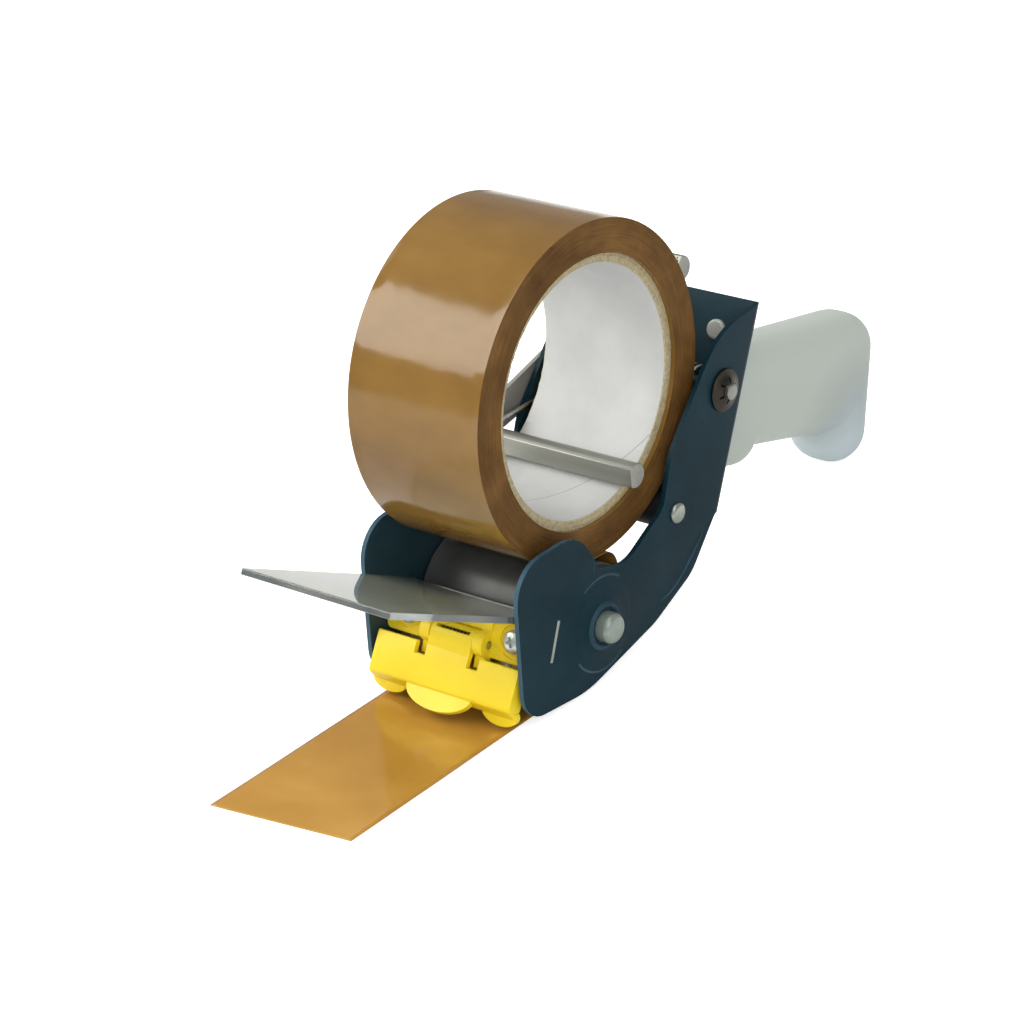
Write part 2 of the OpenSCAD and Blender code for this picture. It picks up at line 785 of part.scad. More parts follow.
// The layer that runs from the nip, round the back of the rubber roller, down to the ground
module tape_wrap() {
    inside = roller_r + run_gap;
    start = asin(strip_back / inside);
    color([0.62, 0.46, 0.24])
    translate([-tape_w / 2, 0, axle_z]) rotate([0, 90, 0]) rotate([0, 0, start])
        rotate_extrude(angle = nip_angle + 90 - start) translate([inside, 0])
            square([tape_t, tape_w]);
}

// The free strip on the ground, which meets the wrap just behind the axle
module tape_strip() {
    cut = tape_w * tan(strip_skew) / 2;
    color([0.78, 0.6, 0.3])
    linear_extrude(tape_t) polygon([[-tape_w / 2, strip_back], [-tape_w / 2, -strip_l + cut],
        [tape_w / 2, -strip_l - cut], [tape_w / 2, strip_back]]);
}

// Lever

module lever_plate() {
    hub_r = 6.8;
    thumb = thumb_l * [cos(thumb_at), sin(thumb_at)];
    color([0.2, 0.21, 0.22])
    on_lever() difference() {
        along_x(-lever_out, lever_t) {
            hull() { circle(r = hub_r); translate([2 - arm_l, 1.9]) circle(r = arm_h / 2); }
            hull() {
                translate([2 - arm_l, 1.9]) circle(r = arm_h / 2);
                translate([-arm_l, 0]) circle(r = bar_r + 1.2);
            }
            hull() { circle(r = hub_r); translate(thumb) circle(r = bar_r + 1.2); }
        }
        rod_x(-60, 0, axle_r + fixed_gap);
        rod_x(-60, 0, bar_r - 1.5, -arm_l, 0);
        rod_x(-60, 0, bar_r - 1.5, thumb[0], thumb[1]);
    }
}

// A D-shaped bar from the lever's plate to x, with its flat facing the given way
module d_bar(to, facing) {
    difference() {
        rod_x(-lever_x, to, bar_r);
        rotate([facing, 0, 0]) translate([-60, bar_flat - bar_r, -bar_r])
            cube([61 + to, bar_r, bar_d]);
    }
    rod_x(-lever_out - 1.2, -lever_x, bar_r - 1.5 - fixed_gap);
    translate([-lever_out, 0, 0]) rotate([0, -90, 0])
        rotate_extrude() polygon(rounded([[0, 0, 0], [bar_r, 0, 0], [bar_r, 1.4, 1], [0, 1.4, 0]]));
}

module brake_bar() {
    color([0.7, 0.7, 0.7])
    on_lever() translate([0, -arm_l, 0]) d_bar(bar_end, 180);
}

module thumb_bar() {
    color([0.7, 0.7, 0.7])
    on_lever() translate([0, thumb_l * cos(thumb_at), thumb_l * sin(thumb_at)])
        d_bar(thumb_end, thumb_at + 42);
}

module pivot_axle() {
    color([0.6, 0.6, 0.62])
    on_lever() {
        rod_x(-lever_out, plate_x + axle_out, axle_r);
        translate([-lever_out, 0, 0]) rotate([0, -90, 0]) rotate_extrude()
            polygon(rounded([[0, 0, 0], [4.4, 0, 0], [4.4, 2, 1.5], [0, 2, 0]]));
    }
}

// A domed spring washer whose teeth grip the axle
module push_nut() {
    nut_r = 6.7;
    color([0.2, 0.17, 0.15])
    on_lever() translate([plate_x + 0.1, 0, 0]) rotate([0, 90, 0]) difference() {
        rotate_extrude() polygon([[axle_r + fixed_gap, 1.5], [axle_r + fixed_gap, 2.1],
            [nut_r - 2, 1.2], [nut_r, 0.7], [nut_r, 0], [nut_r - 2.2, 0.6]]);
        for (a = [0:60:300])
            rotate([0, 0, a]) translate([axle_r - 1, -0.3, -1]) cube([2.6, 0.6, 4]);
    }
}

// The torsion spring: one leg bears on the web, the other presses the brake bar down
module lever_spring() {
    wire_r = 0.8;
    coil_r = 5.4;
    turns = 17;
    near_x = 21;
    leg_x = -(tape_w / 2 + gap_w / 2) / 2;
    bar = arm_l * [-cos(lever_a), -sin(lever_a)];
    over = bar[1] + bar_r + wire_r + 0.1;
    web = [cos(web_lean), -sin(web_lean)];
    rest = web * (web * [web_y - pivot_y, web_z - pivot_z] - sheet - wire_r - 0.1);
    foot = rest - 6.5 * [sin(web_lean), cos(web_lean)];
    path = concat(
        [[near_x + 0.4, foot[0], foot[1]], [near_x + 0.3, foot[0] + 0.6, foot[1] + 1.8]],
        coil(near_x, leg_x + 0.3, coil_r, turns + 0.75, 0, 0, 0),
        [[leg_x, -3, -coil_r + 0.1], [leg_x, -8, over - 0.1], [leg_x, bar[0] + 3, over],
         [leg_x, bar[0] - 2, over], [leg_x, bar[0] - 3.6, over - 0.5],
         [leg_x, bar[0] - 4.6, over - 1.8], [leg_x, bar[0] - 4.8, over - 5]]);
    echo(lever_spring_least_gap = wire_gap(path, wire_r, 5));
    color("silver") translate([0, pivot_y, pivot_z]) wire(path, wire_r, [1, 0, 0]);
}

frame();
cross_plate();
cutter_blade();
guard_carrier();
carrier_screws();
guard_pin();
clear_flap();
grip();
grip_tang();
web_rivets();
tie_rod();
tie_spacer();
roller_bolt();
roller_nut();
tape_strip();
tape_wrap();
blade_guard();
guard_spring();
rubber_sleeve();
roller_hub();
roller_bushes();
tape_winding();
tape_core();
lever_plate();
brake_bar();
thumb_bar();
pivot_axle();
push_nut();
lever_spring();
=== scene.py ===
import math
import random

import bmesh
import bpy
from mathutils import Matrix, Vector, noise


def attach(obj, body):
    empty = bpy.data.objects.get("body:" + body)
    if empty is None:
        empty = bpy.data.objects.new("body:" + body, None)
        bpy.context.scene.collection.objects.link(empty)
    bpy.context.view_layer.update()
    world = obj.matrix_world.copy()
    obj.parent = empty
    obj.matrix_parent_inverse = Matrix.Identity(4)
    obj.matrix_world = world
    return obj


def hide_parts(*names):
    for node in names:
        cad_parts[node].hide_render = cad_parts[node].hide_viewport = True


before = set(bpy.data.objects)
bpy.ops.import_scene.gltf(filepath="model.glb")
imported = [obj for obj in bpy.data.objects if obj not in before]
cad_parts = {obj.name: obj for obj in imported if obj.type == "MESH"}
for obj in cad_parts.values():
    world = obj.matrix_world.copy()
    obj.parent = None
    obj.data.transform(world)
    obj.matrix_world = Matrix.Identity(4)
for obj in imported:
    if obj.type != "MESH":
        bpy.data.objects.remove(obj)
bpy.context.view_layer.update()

MM = 0.001
random.seed(7)
scene = bpy.context.scene

# Sizes of the part in millimetres, as its source has them
GAP, SHEET, PRESS_H = 56.0, 1.5, 0.8
PLATE_X = GAP / 2 + SHEET
ROLLER_R, ROLLER_L, AXLE_Z = 18.0, 50.0, 18.6
ROLL_R, TAPE_W, CORE_R, CORE_WALL, CORE_IN = 51.5, 48.0, 38.1, 3.0, 1.3
ROLL_Y = 9.5
ROLL_Z = AXLE_Z + math.sqrt((ROLL_R + ROLLER_R + 0.9) ** 2 - ROLL_Y ** 2)
NIP = math.atan2(ROLL_Z - AXLE_Z, ROLL_Y)
PIVOT_Y, PIVOT_Z, ARM_L, THUMB_L = 66.0, 68.2, 44.3, 38.0
THUMB_AT = math.radians(180 - 101.8)
BAR_R, BAR_FLAT, AXLE_R = 3.8, 6.3, 2.5
BAR_REACH = CORE_R - BAR_R - 0.3
WEB_Y, WEB_Z, WEB_LEAN = 65.5, 38.0, math.radians(25.2)
CUT_Y, CUT_Z, CUT_LEAN = 22.0, 23.2, math.radians(23)
TIE_Y, TIE_Z = 39.17, 38.58
RIVETS = [(-15.4, 44.2), (15.4, 44.2), (-4.5, 14), (4.5, 14)]
THUMB_END, TONGUE_W, NOTCH_W = 18.4, 15.6, 4.1
STACK_BASE, KNUCKLE_R, RUN_GAP, PIN_R = 0.65 + 2 + 0.8, 3.6, 0.3, 1.25
PIN_OUT, PIN_UP = STACK_BASE + KNUCKLE_R + RUN_GAP, -5.1

to_roll = (ROLL_Y - PIVOT_Y, ROLL_Z - PIVOT_Z)
roll_dist = math.hypot(*to_roll)
arm_along = (ARM_L ** 2 - BAR_REACH ** 2 + roll_dist ** 2) / (2 * roll_dist)
LEVER_A = math.atan2(to_roll[1], to_roll[0]) + math.acos(arm_along / ARM_L) - math.pi
LEVER_X = PLATE_X + PRESS_H
LEVER_OUT = LEVER_X + 1.5


def turned(y, z, a):
    """A place in millimetres on the middle plane, tilted round X."""
    return Matrix.Translation((0, y, z)) @ Matrix.Rotation(a, 4, "X")


ON_WEB = turned(WEB_Y, WEB_Z, -WEB_LEAN)
ON_CUTTER = turned(-CUT_Y, CUT_Z, -CUT_LEAN)
ON_LEVER = turned(PIVOT_Y, PIVOT_Z, LEVER_A)


# Materials

def srgb(r, g, b):
    """A linear colour from the values 0 to 255 that a screen shows."""
    out = []
    for c in (r, g, b):
        c = c / 255
        out.append(c / 12.92 if c <= 0.04045 else ((c + 0.055) / 1.055) ** 2.4)
    return (*out, 1)


def maths(tree, kind, a, b):
    """The result of a maths node on outputs or numbers, the second of them None where it takes one."""
    node = tree.nodes.new("ShaderNodeMath")
    node.operation = kind
    for i, value in enumerate((a, b)):
        if value is None:
            continue
        if hasattr(value, "links"):
            tree.links.new(value, node.inputs[i])
        else:
            node.inputs[i].default_value = value
    return node.outputs[0]


class Look:
    """A node material whose colour, roughness and relief vary over the surface."""

    def __init__(self, name, **sockets):
        self.mat = bpy.data.materials.new(name)
        self.mat.use_nodes = True
        self.tree = self.mat.node_tree
        self.shader = self.tree.nodes["Principled BSDF"]
        for key, value in sockets.items():
            self.shader.inputs[key.replace("_", " ")].default_value = value
        self.coords = self.add("ShaderNodeTexCoord").outputs["Object"]
        self.relief = None

    def add(self, kind, **values):
        node = self.tree.nodes.new(kind)
        for key, value in values.items():
            setattr(node, key, value)
        return node

    def link(self, a, b):
        self.tree.links.new(a, b)

    def stretched(self, stretch):
        if stretch is None:
            return self.coords
        node = self.add("ShaderNodeMapping")
        node.inputs["Scale"].default_value = stretch
        self.link(self.coords, node.inputs["Vector"])
        return node.outputs["Vector"]

    def noise(self, scale, detail, rough=0.55, stretch=None, distort=0.0):
        node = self.add("ShaderNodeTexNoise")
        node.inputs["Scale"].default_value = scale
        node.inputs["Detail"].default_value = detail
        node.inputs["Roughness"].default_value = rough
        node.inputs["Distortion"].default_value = distort
        self.link(self.stretched(stretch), node.inputs["Vector"])
        return node.outputs["Fac"]

    def radius(self, y, z):
        """Distance in metres from an axis along X, and the node that splits the coordinates."""
        part = self.add("ShaderNodeSeparateXYZ")
        self.link(self.coords, part.inputs[0])
        sides = []
        for out, value in (("Y", y), ("Z", z)):
            less = self.math("SUBTRACT", part.outputs[out], value * MM)
            sides.append(self.math("MULTIPLY", less, less))
        return self.math("SQRT", self.math("ADD", *sides)), part

    def math(self, kind, a, b=None):
        return maths(self.tree, kind, a, b)

    def ramp(self, fac, *stops):
        """A colour band through stops of a position and a screen colour."""
        node = self.add("ShaderNodeValToRGB")
        points = node.color_ramp.elements
        while len(points) < len(stops):
            points.new(0.5)
        for point, (at, colour) in zip(points, stops):
            point.position = at
            point.color = srgb(*colour)
        self.link(fac, node.inputs["Fac"])
        return node.outputs["Color"]

    def colour(self, fac, *stops):
        self.link(self.ramp(fac, *stops), self.shader.inputs["Base Color"])

    def gloss(self, fac, low, high):
        """Roughness that varies from low to high."""
        node = self.add("ShaderNodeMapRange")
        node.inputs["To Min"].default_value = low
        node.inputs["To Max"].default_value = high
        self.link(fac, node.inputs["Value"])
        self.link(node.outputs["Result"], self.shader.inputs["Roughness"])

    def bump(self, height, strength, distance):
        """Fine relief, on top of any that is there already."""
        node = self.add("ShaderNodeBump")
        node.inputs["Strength"].default_value = strength
        node.inputs["Distance"].default_value = distance
        self.link(height, node.inputs["Height"])
        if self.relief:
            self.link(self.relief, node.inputs["Normal"])
        self.relief = node.outputs["Normal"]
        self.link(self.relief, self.shader.inputs["Normal"])


def paint(name, dark, mid, light, rough, shine=0.1):
    """Powder coat with a fine pebble grain."""
    look = Look(name, Specular_IOR_Level=shine)
    look.colour(look.noise(38, 4), (0.3, dark), (0.5, mid), (0.72, light))
    look.gloss(look.noise(120, 3), rough - 0.05, rough + 0.06)
    look.bump(look.noise(1300, 2), 0.16, 0.00012)
    look.bump(look.noise(60, 2), 0.05, 0.0004)
    return look.mat


blue = paint("blue_powder_coat", (6, 36, 45), (10, 41, 51), (18, 48, 59), 0.4)
# Painted light: the same powder coat, lighter and glossier on the frame's inside faces
blue_inside_painted_light = paint("blue_powder_coat_inside_painted_light", (30, 54, 62), (37, 61, 70), (45, 68, 78),
                   0.38, shine=0.35)
# Painted highlight: the beads and rims pressed into the plates get a paler copy of the powder coat
blue_bead_highlight = paint("blue_powder_coat_bead_highlight", (30, 57, 70), (43, 69, 81), (68, 93, 102), 0.42)


def edge_wear_and_highlight():
    """Paint on the sheet's edges, lighter with wear, pale round the front lobes as a painted highlight and
    dark along the neck.
    """
    look = Look("blue_powder_coat_edge_wear_and_highlight", Specular_IOR_Level=0.1)
    # Painted highlight: the edges turn paler the nearer they are to the front lobes
    far, _ = look.radius(-26.0, 20.0)
    mixed = look.math("ADD", look.math("MULTIPLY", far, 10.0), look.math("MULTIPLY", look.noise(38, 4), 0.12))
    look.colour(mixed, (0.3, (66, 94, 109)), (0.38, (54, 82, 98)), (0.52, (10, 41, 51)))
    look.gloss(look.noise(120, 3), 0.37, 0.48)
    look.bump(look.noise(1300, 2), 0.16, 0.00012)
    return look.mat


blue_edge_wear_and_highlight = edge_wear_and_highlight()


def metal(name, dark, light, rough, stretch=None, grain=700, bare=1.0):
    """Metal in uneven brightness, brushed along an axis where it is stretched."""
    look = Look(name, Metallic=bare)
    look.colour(look.noise(90, 4, stretch=stretch), (0.3, dark), (0.7, light))
    look.gloss(look.noise(300, 4, stretch=stretch), rough - 0.08, rough + 0.1)
    look.bump(look.noise(grain, 3, stretch=stretch), 0.12, 0.0001)
    return look.mat


zinc = metal("zinc_plate", (138, 144, 136), (184, 190, 180), 0.3)
zinc_mark = metal("zinc_plate_edge", (120, 126, 118), (170, 176, 168), 0.36)
dull = metal("dull_steel", (140, 141, 134), (176, 176, 168), 0.44, (0.12, 1, 1), 900)
# Painted shade: dark steel for the knurl's diamonds, standing in for the shade in its grooves
knurl_shade_mat = metal("knurl_painted_shade", (34, 34, 32), (58, 58, 54), 0.5)
blade_mat = metal("blade_steel", (150, 154, 156), (190, 194, 196), 0.26, (1, 1, 0.2), 900)
arm_mat = metal("dark_steel", (138, 139, 135), (176, 176, 171), 0.42, (1, 0.3, 0.3), 700, 0.35)
rivet_mat = metal("rivet_zinc", (176, 180, 174), (206, 210, 204), 0.42, bare=0.3)
bolt_mat = metal("bolt_zinc", (126, 136, 128), (162, 172, 163), 0.34, bare=0.5)
screw_mat = metal("screw_zinc", (196, 203, 200), (228, 233, 230), 0.22, bare=0.6)
nut_mat = metal("dark_nut_steel", (44, 41, 36), (74, 70, 62), 0.36, None, 600)
spring_mat = metal("spring_steel", (150, 150, 148), (196, 196, 192), 0.26)


def plastic(name, dark, light, rough, **sockets):
    """Moulded plastic with a fine grain."""
    look = Look(name, **sockets)
    look.colour(look.noise(45, 3), (0.3, dark), (0.7, light))
    look.gloss(look.noise(160, 3), rough - 0.04, rough + 0.06)
    look.bump(look.noise(900, 2), 0.18, 0.00005)
    return look.mat


yellow = plastic("yellow_plastic", (240, 208, 32), (246, 217, 46), 0.36, Specular_IOR_Level=0.35,
                 Subsurface_Weight=0.25, Subsurface_Radius=(0.004, 0.003, 0.0008), Subsurface_Scale=1.0)
yellow_edge = plastic("yellow_plastic_edge", (240, 209, 44), (247, 220, 64), 0.34)
black_plastic = plastic("black_plastic", (20, 20, 22), (30, 30, 33), 0.42)
bush_mat = plastic("bush_nylon", (206, 202, 188), (224, 220, 208), 0.4)
hub_mat = plastic("hub_plastic", (38, 39, 42), (52, 53, 57), 0.45)


def grip_plastic():
    """Milky plastic, bluer and paler towards the lobe that it stands on, as painted light from the white
    floor.
    """
    look = Look("grip_plastic", Subsurface_Weight=0.4, Subsurface_Radius=(0.008, 0.009, 0.0085),
                Subsurface_Scale=1.0)
    # Painted light: bluer and paler near the foot, as if lit by the floor below it
    far, _ = look.radius(160.3, 6.0)
    mixed = look.math("ADD", look.math("MULTIPLY", far, 24.0), look.math("MULTIPLY", look.noise(45, 3), 0.12))
    look.colour(mixed, (0.2, (184, 196, 200)), (0.5, (168, 178, 179)), (0.7, (172, 180, 174)),
                (1.0, (183, 191, 183)))
    look.gloss(look.noise(160, 3), 0.44, 0.54)
    look.bump(look.noise(800, 2), 0.18, 0.0001)
    return look.mat


def rubber():
    """The roller's sleeve."""
    look = Look("black_rubber", Specular_IOR_Level=0.45)
    look.colour(look.noise(70, 4), (0.3, (58, 60, 59)), (0.72, (76, 78, 77)))
    look.gloss(look.noise(200, 4), 0.26, 0.42)
    look.bump(look.noise(1200, 3), 0.2, 0.0001)
    return look.mat


def clear(name, through, dark, light, rough):
    """Clear plastic that lets a share of the light through."""
    look = Look(name, Transmission_Weight=through, IOR=1.49, Specular_IOR_Level=0.6)
    look.colour(look.noise(40, 2), (0.3, dark), (0.7, light))
    look.gloss(look.noise(240, 3), rough, rough + 0.05)
    look.bump(look.noise(45, 2), 0.04, 0.0003)
    return look.mat


def film(name, dark, mid, light, shine=0.45):
    """Glossy brown film, in soft waves across the tape and fine lines along it."""
    look = Look(name, Specular_IOR_Level=shine, Coat_Weight=0.1, Coat_Roughness=0.08)
    look.colour(look.noise(22, 4, stretch=(1, 1.6, 1.6)), (0.28, dark), (0.5, mid), (0.74, light))
    look.gloss(look.noise(90, 4), 0.08, 0.18)
    look.bump(look.noise(34, 3, 0.6, (0.7, 1, 1), 0.4), 0.32, 0.0009)
    look.bump(look.noise(260, 3, 0.6, (0.3, 1, 1)), 0.1, 0.0002)
    return look.mat


brown = film("brown_tape", (112, 81, 34), (127, 94, 42), (141, 107, 52), shine=0.36)
strip_mat = film("brown_tape_strip", (170, 123, 47), (182, 135, 55), (193, 147, 69))


def tape_side():
    """The wound film's edges: fine rings round the roll's axis, in uneven browns."""
    look = Look("tape_edge", Specular_IOR_Level=0.08)
    far, parts = look.radius(ROLL_Y, ROLL_Z)
    rings = look.add("ShaderNodeCombineXYZ")
    look.link(look.math("MULTIPLY", far, 9.0), rings.inputs["X"])
    for axis, scale in (("Y", 0.35), ("Z", 0.35)):
        look.link(look.math("MULTIPLY", parts.outputs[axis], scale), rings.inputs[axis])
    ring = look.add("ShaderNodeTexNoise")
    ring.inputs["Scale"].default_value = 260
    ring.inputs["Detail"].default_value = 5
    look.link(rings.outputs[0], ring.inputs["Vector"])
    blot = look.noise(55, 4, 0.6)
    mixed = look.math("ADD", look.math("MULTIPLY", ring.outputs["Fac"], 0.35),
                      look.math("MULTIPLY", blot, 0.65))
    look.colour(mixed, (0.34, (80, 54, 23)), (0.5, (99, 70, 35)), (0.66, (122, 89, 49)))
    look.gloss(mixed, 0.45, 0.7)
    look.bump(ring.outputs["Fac"], 0.5, 0.0002)
    return look.mat


def board():
    """The core's cut board, its layers round the roll's axis."""
    look = Look("core_board", Specular_IOR_Level=0.2)
    far, parts = look.radius(ROLL_Y, ROLL_Z)
    layers = look.add("ShaderNodeTexNoise")
    layers.noise_dimensions = "1D"
    layers.inputs["Scale"].default_value = 3200
    look.link(far, layers.inputs["W"])
    both = look.math("ADD", look.math("MULTIPLY", layers.outputs["Fac"], 0.5),
                     look.math("MULTIPLY", look.noise(900, 4), 0.5))
    look.colour(both, (0.34, (140, 128, 98)), (0.5, (170, 158, 126)), (0.68, (198, 188, 158)))
    look.gloss(both, 0.75, 0.92)
    look.bump(both, 0.7, 0.0004)
    return look.mat


def paper():
    """The paper inside the core."""
    look = Look("core_paper", Specular_IOR_Level=0.3)
    look.colour(look.noise(60, 5, 0.65), (0.3, (190, 191, 190)), (0.7, (201, 202, 200)))
    look.gloss(look.noise(200, 3), 0.5, 0.68)
    look.bump(look.noise(420, 4, 0.6, (1, 0.6, 0.6)), 0.2, 0.0002)
    return look.mat


grip_mat, rubber_mat, edge_mat = grip_plastic(), rubber(), tape_side()
board_mat, paper_mat = board(), paper()
clear_mat = clear("clear_plastic", 0.87, (212, 219, 218), (230, 231, 210), 0.02)
clear_edge = clear("clear_plastic_edge", 0.7, (126, 134, 134), (196, 202, 200), 0.1)
seam_mat = plastic("paper_seam", (132, 133, 131), (158, 158, 154), 0.7)


# Building

def face_outwards(me):
    """The mesh's faces turned so that their normals look outwards."""
    bm = bmesh.new()
    bm.from_mesh(me)
    bmesh.ops.recalc_face_normals(bm, faces=bm.faces)
    bm.to_mesh(me)
    bm.free()


def shade(me, angle):
    """Smooth shading, sharp where faces meet at more than the angle in degrees."""
    me.shade_smooth()
    me.set_sharp_from_angle(angle=math.radians(angle))


def piece(name, verts, faces, body, mats, replaces, smooth, scale=MM):
    """A mesh object from millimetre points, riding on its body in place of the nodes it replaces."""
    me = bpy.data.meshes.new(name)
    me.from_pydata([Vector(v) * scale for v in verts], [], [tuple(f) for f in faces])
    me.validate()
    face_outwards(me)
    for mat in mats if isinstance(mats, (list, tuple)) else [mats]:
        me.materials.append(mat)
    if smooth:
        shade(me, smooth)
    ob = bpy.data.objects.new(name, me)
    scene.collection.objects.link(ob)
    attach(ob, body)
    if replaces:
        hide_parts(*replaces)
    return ob


def round_edges(ob, width, segments, angle, material=-1):
    """Edges rounded where faces meet at more than the angle, in the object's own or another slot."""
    mod = ob.modifiers.new("round", "BEVEL")
    mod.width = width * MM
    mod.segments = segments
    mod.limit_method = "ANGLE"
    mod.angle_limit = math.radians(angle)
    mod.material = material
    mod.harden_normals = True
    mod.use_clamp_overlap = True


# Tolerances of the joined faces in metres, then the angles in degrees of a flat and of a corner
SAME_POINT, SHORT_EDGE, FLAT, CORNER = 3e-6, 2e-6, 0.5, 32


def from_cad(node, body, mats, width, segments, material=-1):
    """A CAD node's own shape with its flat faces joined and its edges rounded."""
    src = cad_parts[node].data
    bm = bmesh.new()
    for v in src.vertices:
        bm.verts.new(v.co)
    bm.verts.ensure_lookup_table()
    for p in src.polygons:
        bm.faces.new([bm.verts[i] for i in p.vertices])
    bmesh.ops.remove_doubles(bm, verts=bm.verts, dist=SAME_POINT)
    bmesh.ops.dissolve_degenerate(bm, edges=bm.edges, dist=SHORT_EDGE)
    bmesh.ops.dissolve_limit(bm, angle_limit=math.radians(FLAT), verts=bm.verts, edges=bm.edges)
    bm.verts.index_update()
    points = [v.co.copy() for v in bm.verts]
    faces = [[v.index for v in f.verts] for f in bm.faces]
    bm.free()
    ob = piece(node + "_dressed", points, faces, body, mats, (node,), CORNER, scale=1)
    round_edges(ob, width, segments, CORNER, material)
    return ob


def lathe(profile, segs, closed=True, turn=(0, 2 * math.pi), lift=None):
    """Points and faces of a profile of (x, radius) turned round X. A zero radius closes on the axis."""
    verts, faces, rows = [], [], []
    whole = abs(turn[1] - turn[0] - 2 * math.pi) < 1e-6
    count = segs if whole else segs + 1
    for k in range(count):
        a = turn[0] + (turn[1] - turn[0]) * k / segs
        row = []
        for i, (x, r) in enumerate(profile):
            if r < 1e-9 and k and whole:
                row.append(rows[0][i])
                continue
            extra = lift(i, a) if lift else (0, 0)
            rr = r + extra[1]
            row.append(len(verts))
            verts.append((x + extra[0], rr * math.cos(a), rr * math.sin(a)))
        rows.append(row)
    n = len(profile)
    for k in range(segs):
        p, q = rows[k], rows[(k + 1) % count]
        for i in range(n if closed else n - 1):
            j = (i + 1) % n
            face = []
            for v in (p[i], p[j], q[j], q[i]):
                if v not in face:
                    face.append(v)
            if len(face) > 2:
                faces.append(face)
    return verts, faces


def joined(parts):
    """Points and faces of several parts as one."""
    verts, faces = [], []
    for v, f in parts:
        base = len(verts)
        verts += list(v)
        faces += [[i + base for i in face] for face in f]
    return verts, faces


def put(part, place):
    """Part moved by a matrix in millimetres."""
    return [tuple(place @ Vector(v)) for v in part[0]], part[1]


def at(y, z):
    """A place in millimetres on the middle plane."""
    return Matrix.Translation((0, y, z))


def soft_profile(x0, x1, r0, r1, edge):
    """A ring's section from x0 to x1 and r0 to r1 with rounded outer corners."""
    pts = [(x0, r0)]
    for cx, cr, a0 in ((x0 + edge, r1 - edge, 180), (x1 - edge, r1 - edge, 90)):
        for i in range(5):
            a = math.radians(a0 - 22.5 * i)
            pts.append((cx + edge * math.cos(a), cr + edge * math.sin(a)))
    pts.append((x1, r0))
    return pts


def sweep(path, r, first, sides):
    """A wire of radius r along path, with closed ends. Its first side points the way of first."""
    p = [Vector(q) for q in path]
    n = len(p)
    tang = [(p[min(i + 1, n - 1)] - p[max(i - 1, 0)]).normalized() for i in range(n)]
    across = Vector(first)
    verts, faces = [], []
    for i in range(n):
        across = (across - across.dot(tang[i]) * tang[i]).normalized()
        side = tang[i].cross(across)
        for j in range(sides):
            a = 2 * math.pi * j / sides
            verts.append(tuple(p[i] + r * (math.cos(a) * across + math.sin(a) * side)))
    for i in range(n - 1):
        for j in range(sides):
            a, b = i * sides + j, i * sides + (j + 1) % sides
            faces.append([a, a + sides, b + sides, b])
    faces.append(list(range(sides)))
    faces.append([(n - 1) * sides + j for j in reversed(range(sides))])
    return verts, faces


def curve_through(points, per):
    """A smooth path through points (Catmull-Rom)."""
    p = [Vector(q) for q in points]
    p = [2 * p[0] - p[1]] + p + [2 * p[-1] - p[-2]]
    out = []
    for i in range(1, len(p) - 2):
        for k in range(per):
            t = k / per
            a, b, c, d = p[i - 1], p[i], p[i + 1], p[i + 2]
            out.append(0.5 * ((2 * b) + (c - a) * t + (2 * a - 5 * b + 4 * c - d) * t * t
                              + (3 * b - a - 3 * c + d) * t ** 3))
    out.append(p[-2])
    return out


def solve(ob):
    """Applies the object's modifiers to its mesh."""
    dg = bpy.context.evaluated_depsgraph_get()
    me = bpy.data.meshes.new_from_object(ob.evaluated_get(dg))
    ob.modifiers.clear()
    ob.data = me


def loose(verts, faces, place=None):
    """A helper object for a boolean, later removed."""
    me = bpy.data.meshes.new("helper")
    me.from_pydata([Vector(v) * MM for v in verts], [], [tuple(f) for f in faces])
    if place is not None:
        in_metres = place.copy()
        in_metres.translation *= MM
        me.transform(in_metres)
    face_outwards(me)
    ob = bpy.data.objects.new("helper", me)
    scene.collection.objects.link(ob)
    return ob


def combine(ob, other, kind):
    """Applies a boolean with a helper, which is removed."""
    mod = ob.modifiers.new("cut", "BOOLEAN")
    mod.operation = kind
    mod.solver = "EXACT"
    mod.object = other
    bpy.context.view_layer.update()
    solve(ob)
    bpy.data.objects.remove(other)


BLOCK_FACES = [[0, 1, 3, 2], [4, 6, 7, 5], [0, 4, 5, 1], [2, 3, 7, 6], [0, 2, 6, 4], [1, 5, 7, 3]]


def block(x0, x1, y0, y1, z0, z1):
    """Points and faces of a box between its limits."""
    return [(x, y, z) for x in (x0, x1) for y in (y0, y1) for z in (z0, z1)], BLOCK_FACES


def taken_out(ob):
    """Points in millimetres and faces of a helper, which is removed."""
    verts = [tuple(v.co / MM) for v in ob.data.vertices]
    faces = [list(p.vertices) for p in ob.data.polygons]
    bpy.data.objects.remove(ob)
    return verts, faces


def both_sides(profile):
    """A profile of (x, radius) for the left side and for the right."""
    return [[(s * x, r) for x, r in profile] for s in (-1, 1)]


# Frame and its hardware

# Slots of the materials: the outside, then a rounded or cut edge with wear and a painted highlight, then the
# frame's inside in a lighter paint that is painted light
EDGE, INSIDE_PAINTED_LIGHT = 1, 2
# A normal with less of X than this lies in the side plates' plane, and smaller faces are their edge
ALONG_SHEET, SHEET_EDGE_AREA = 0.05, 8e-5
# The web's inside looks forward and lies behind this in metres. Its faces share a plane and a normal
WEB_BEHIND, WEB_NEAR, WEB_ALIKE = 0.05, 5e-5, 0.99


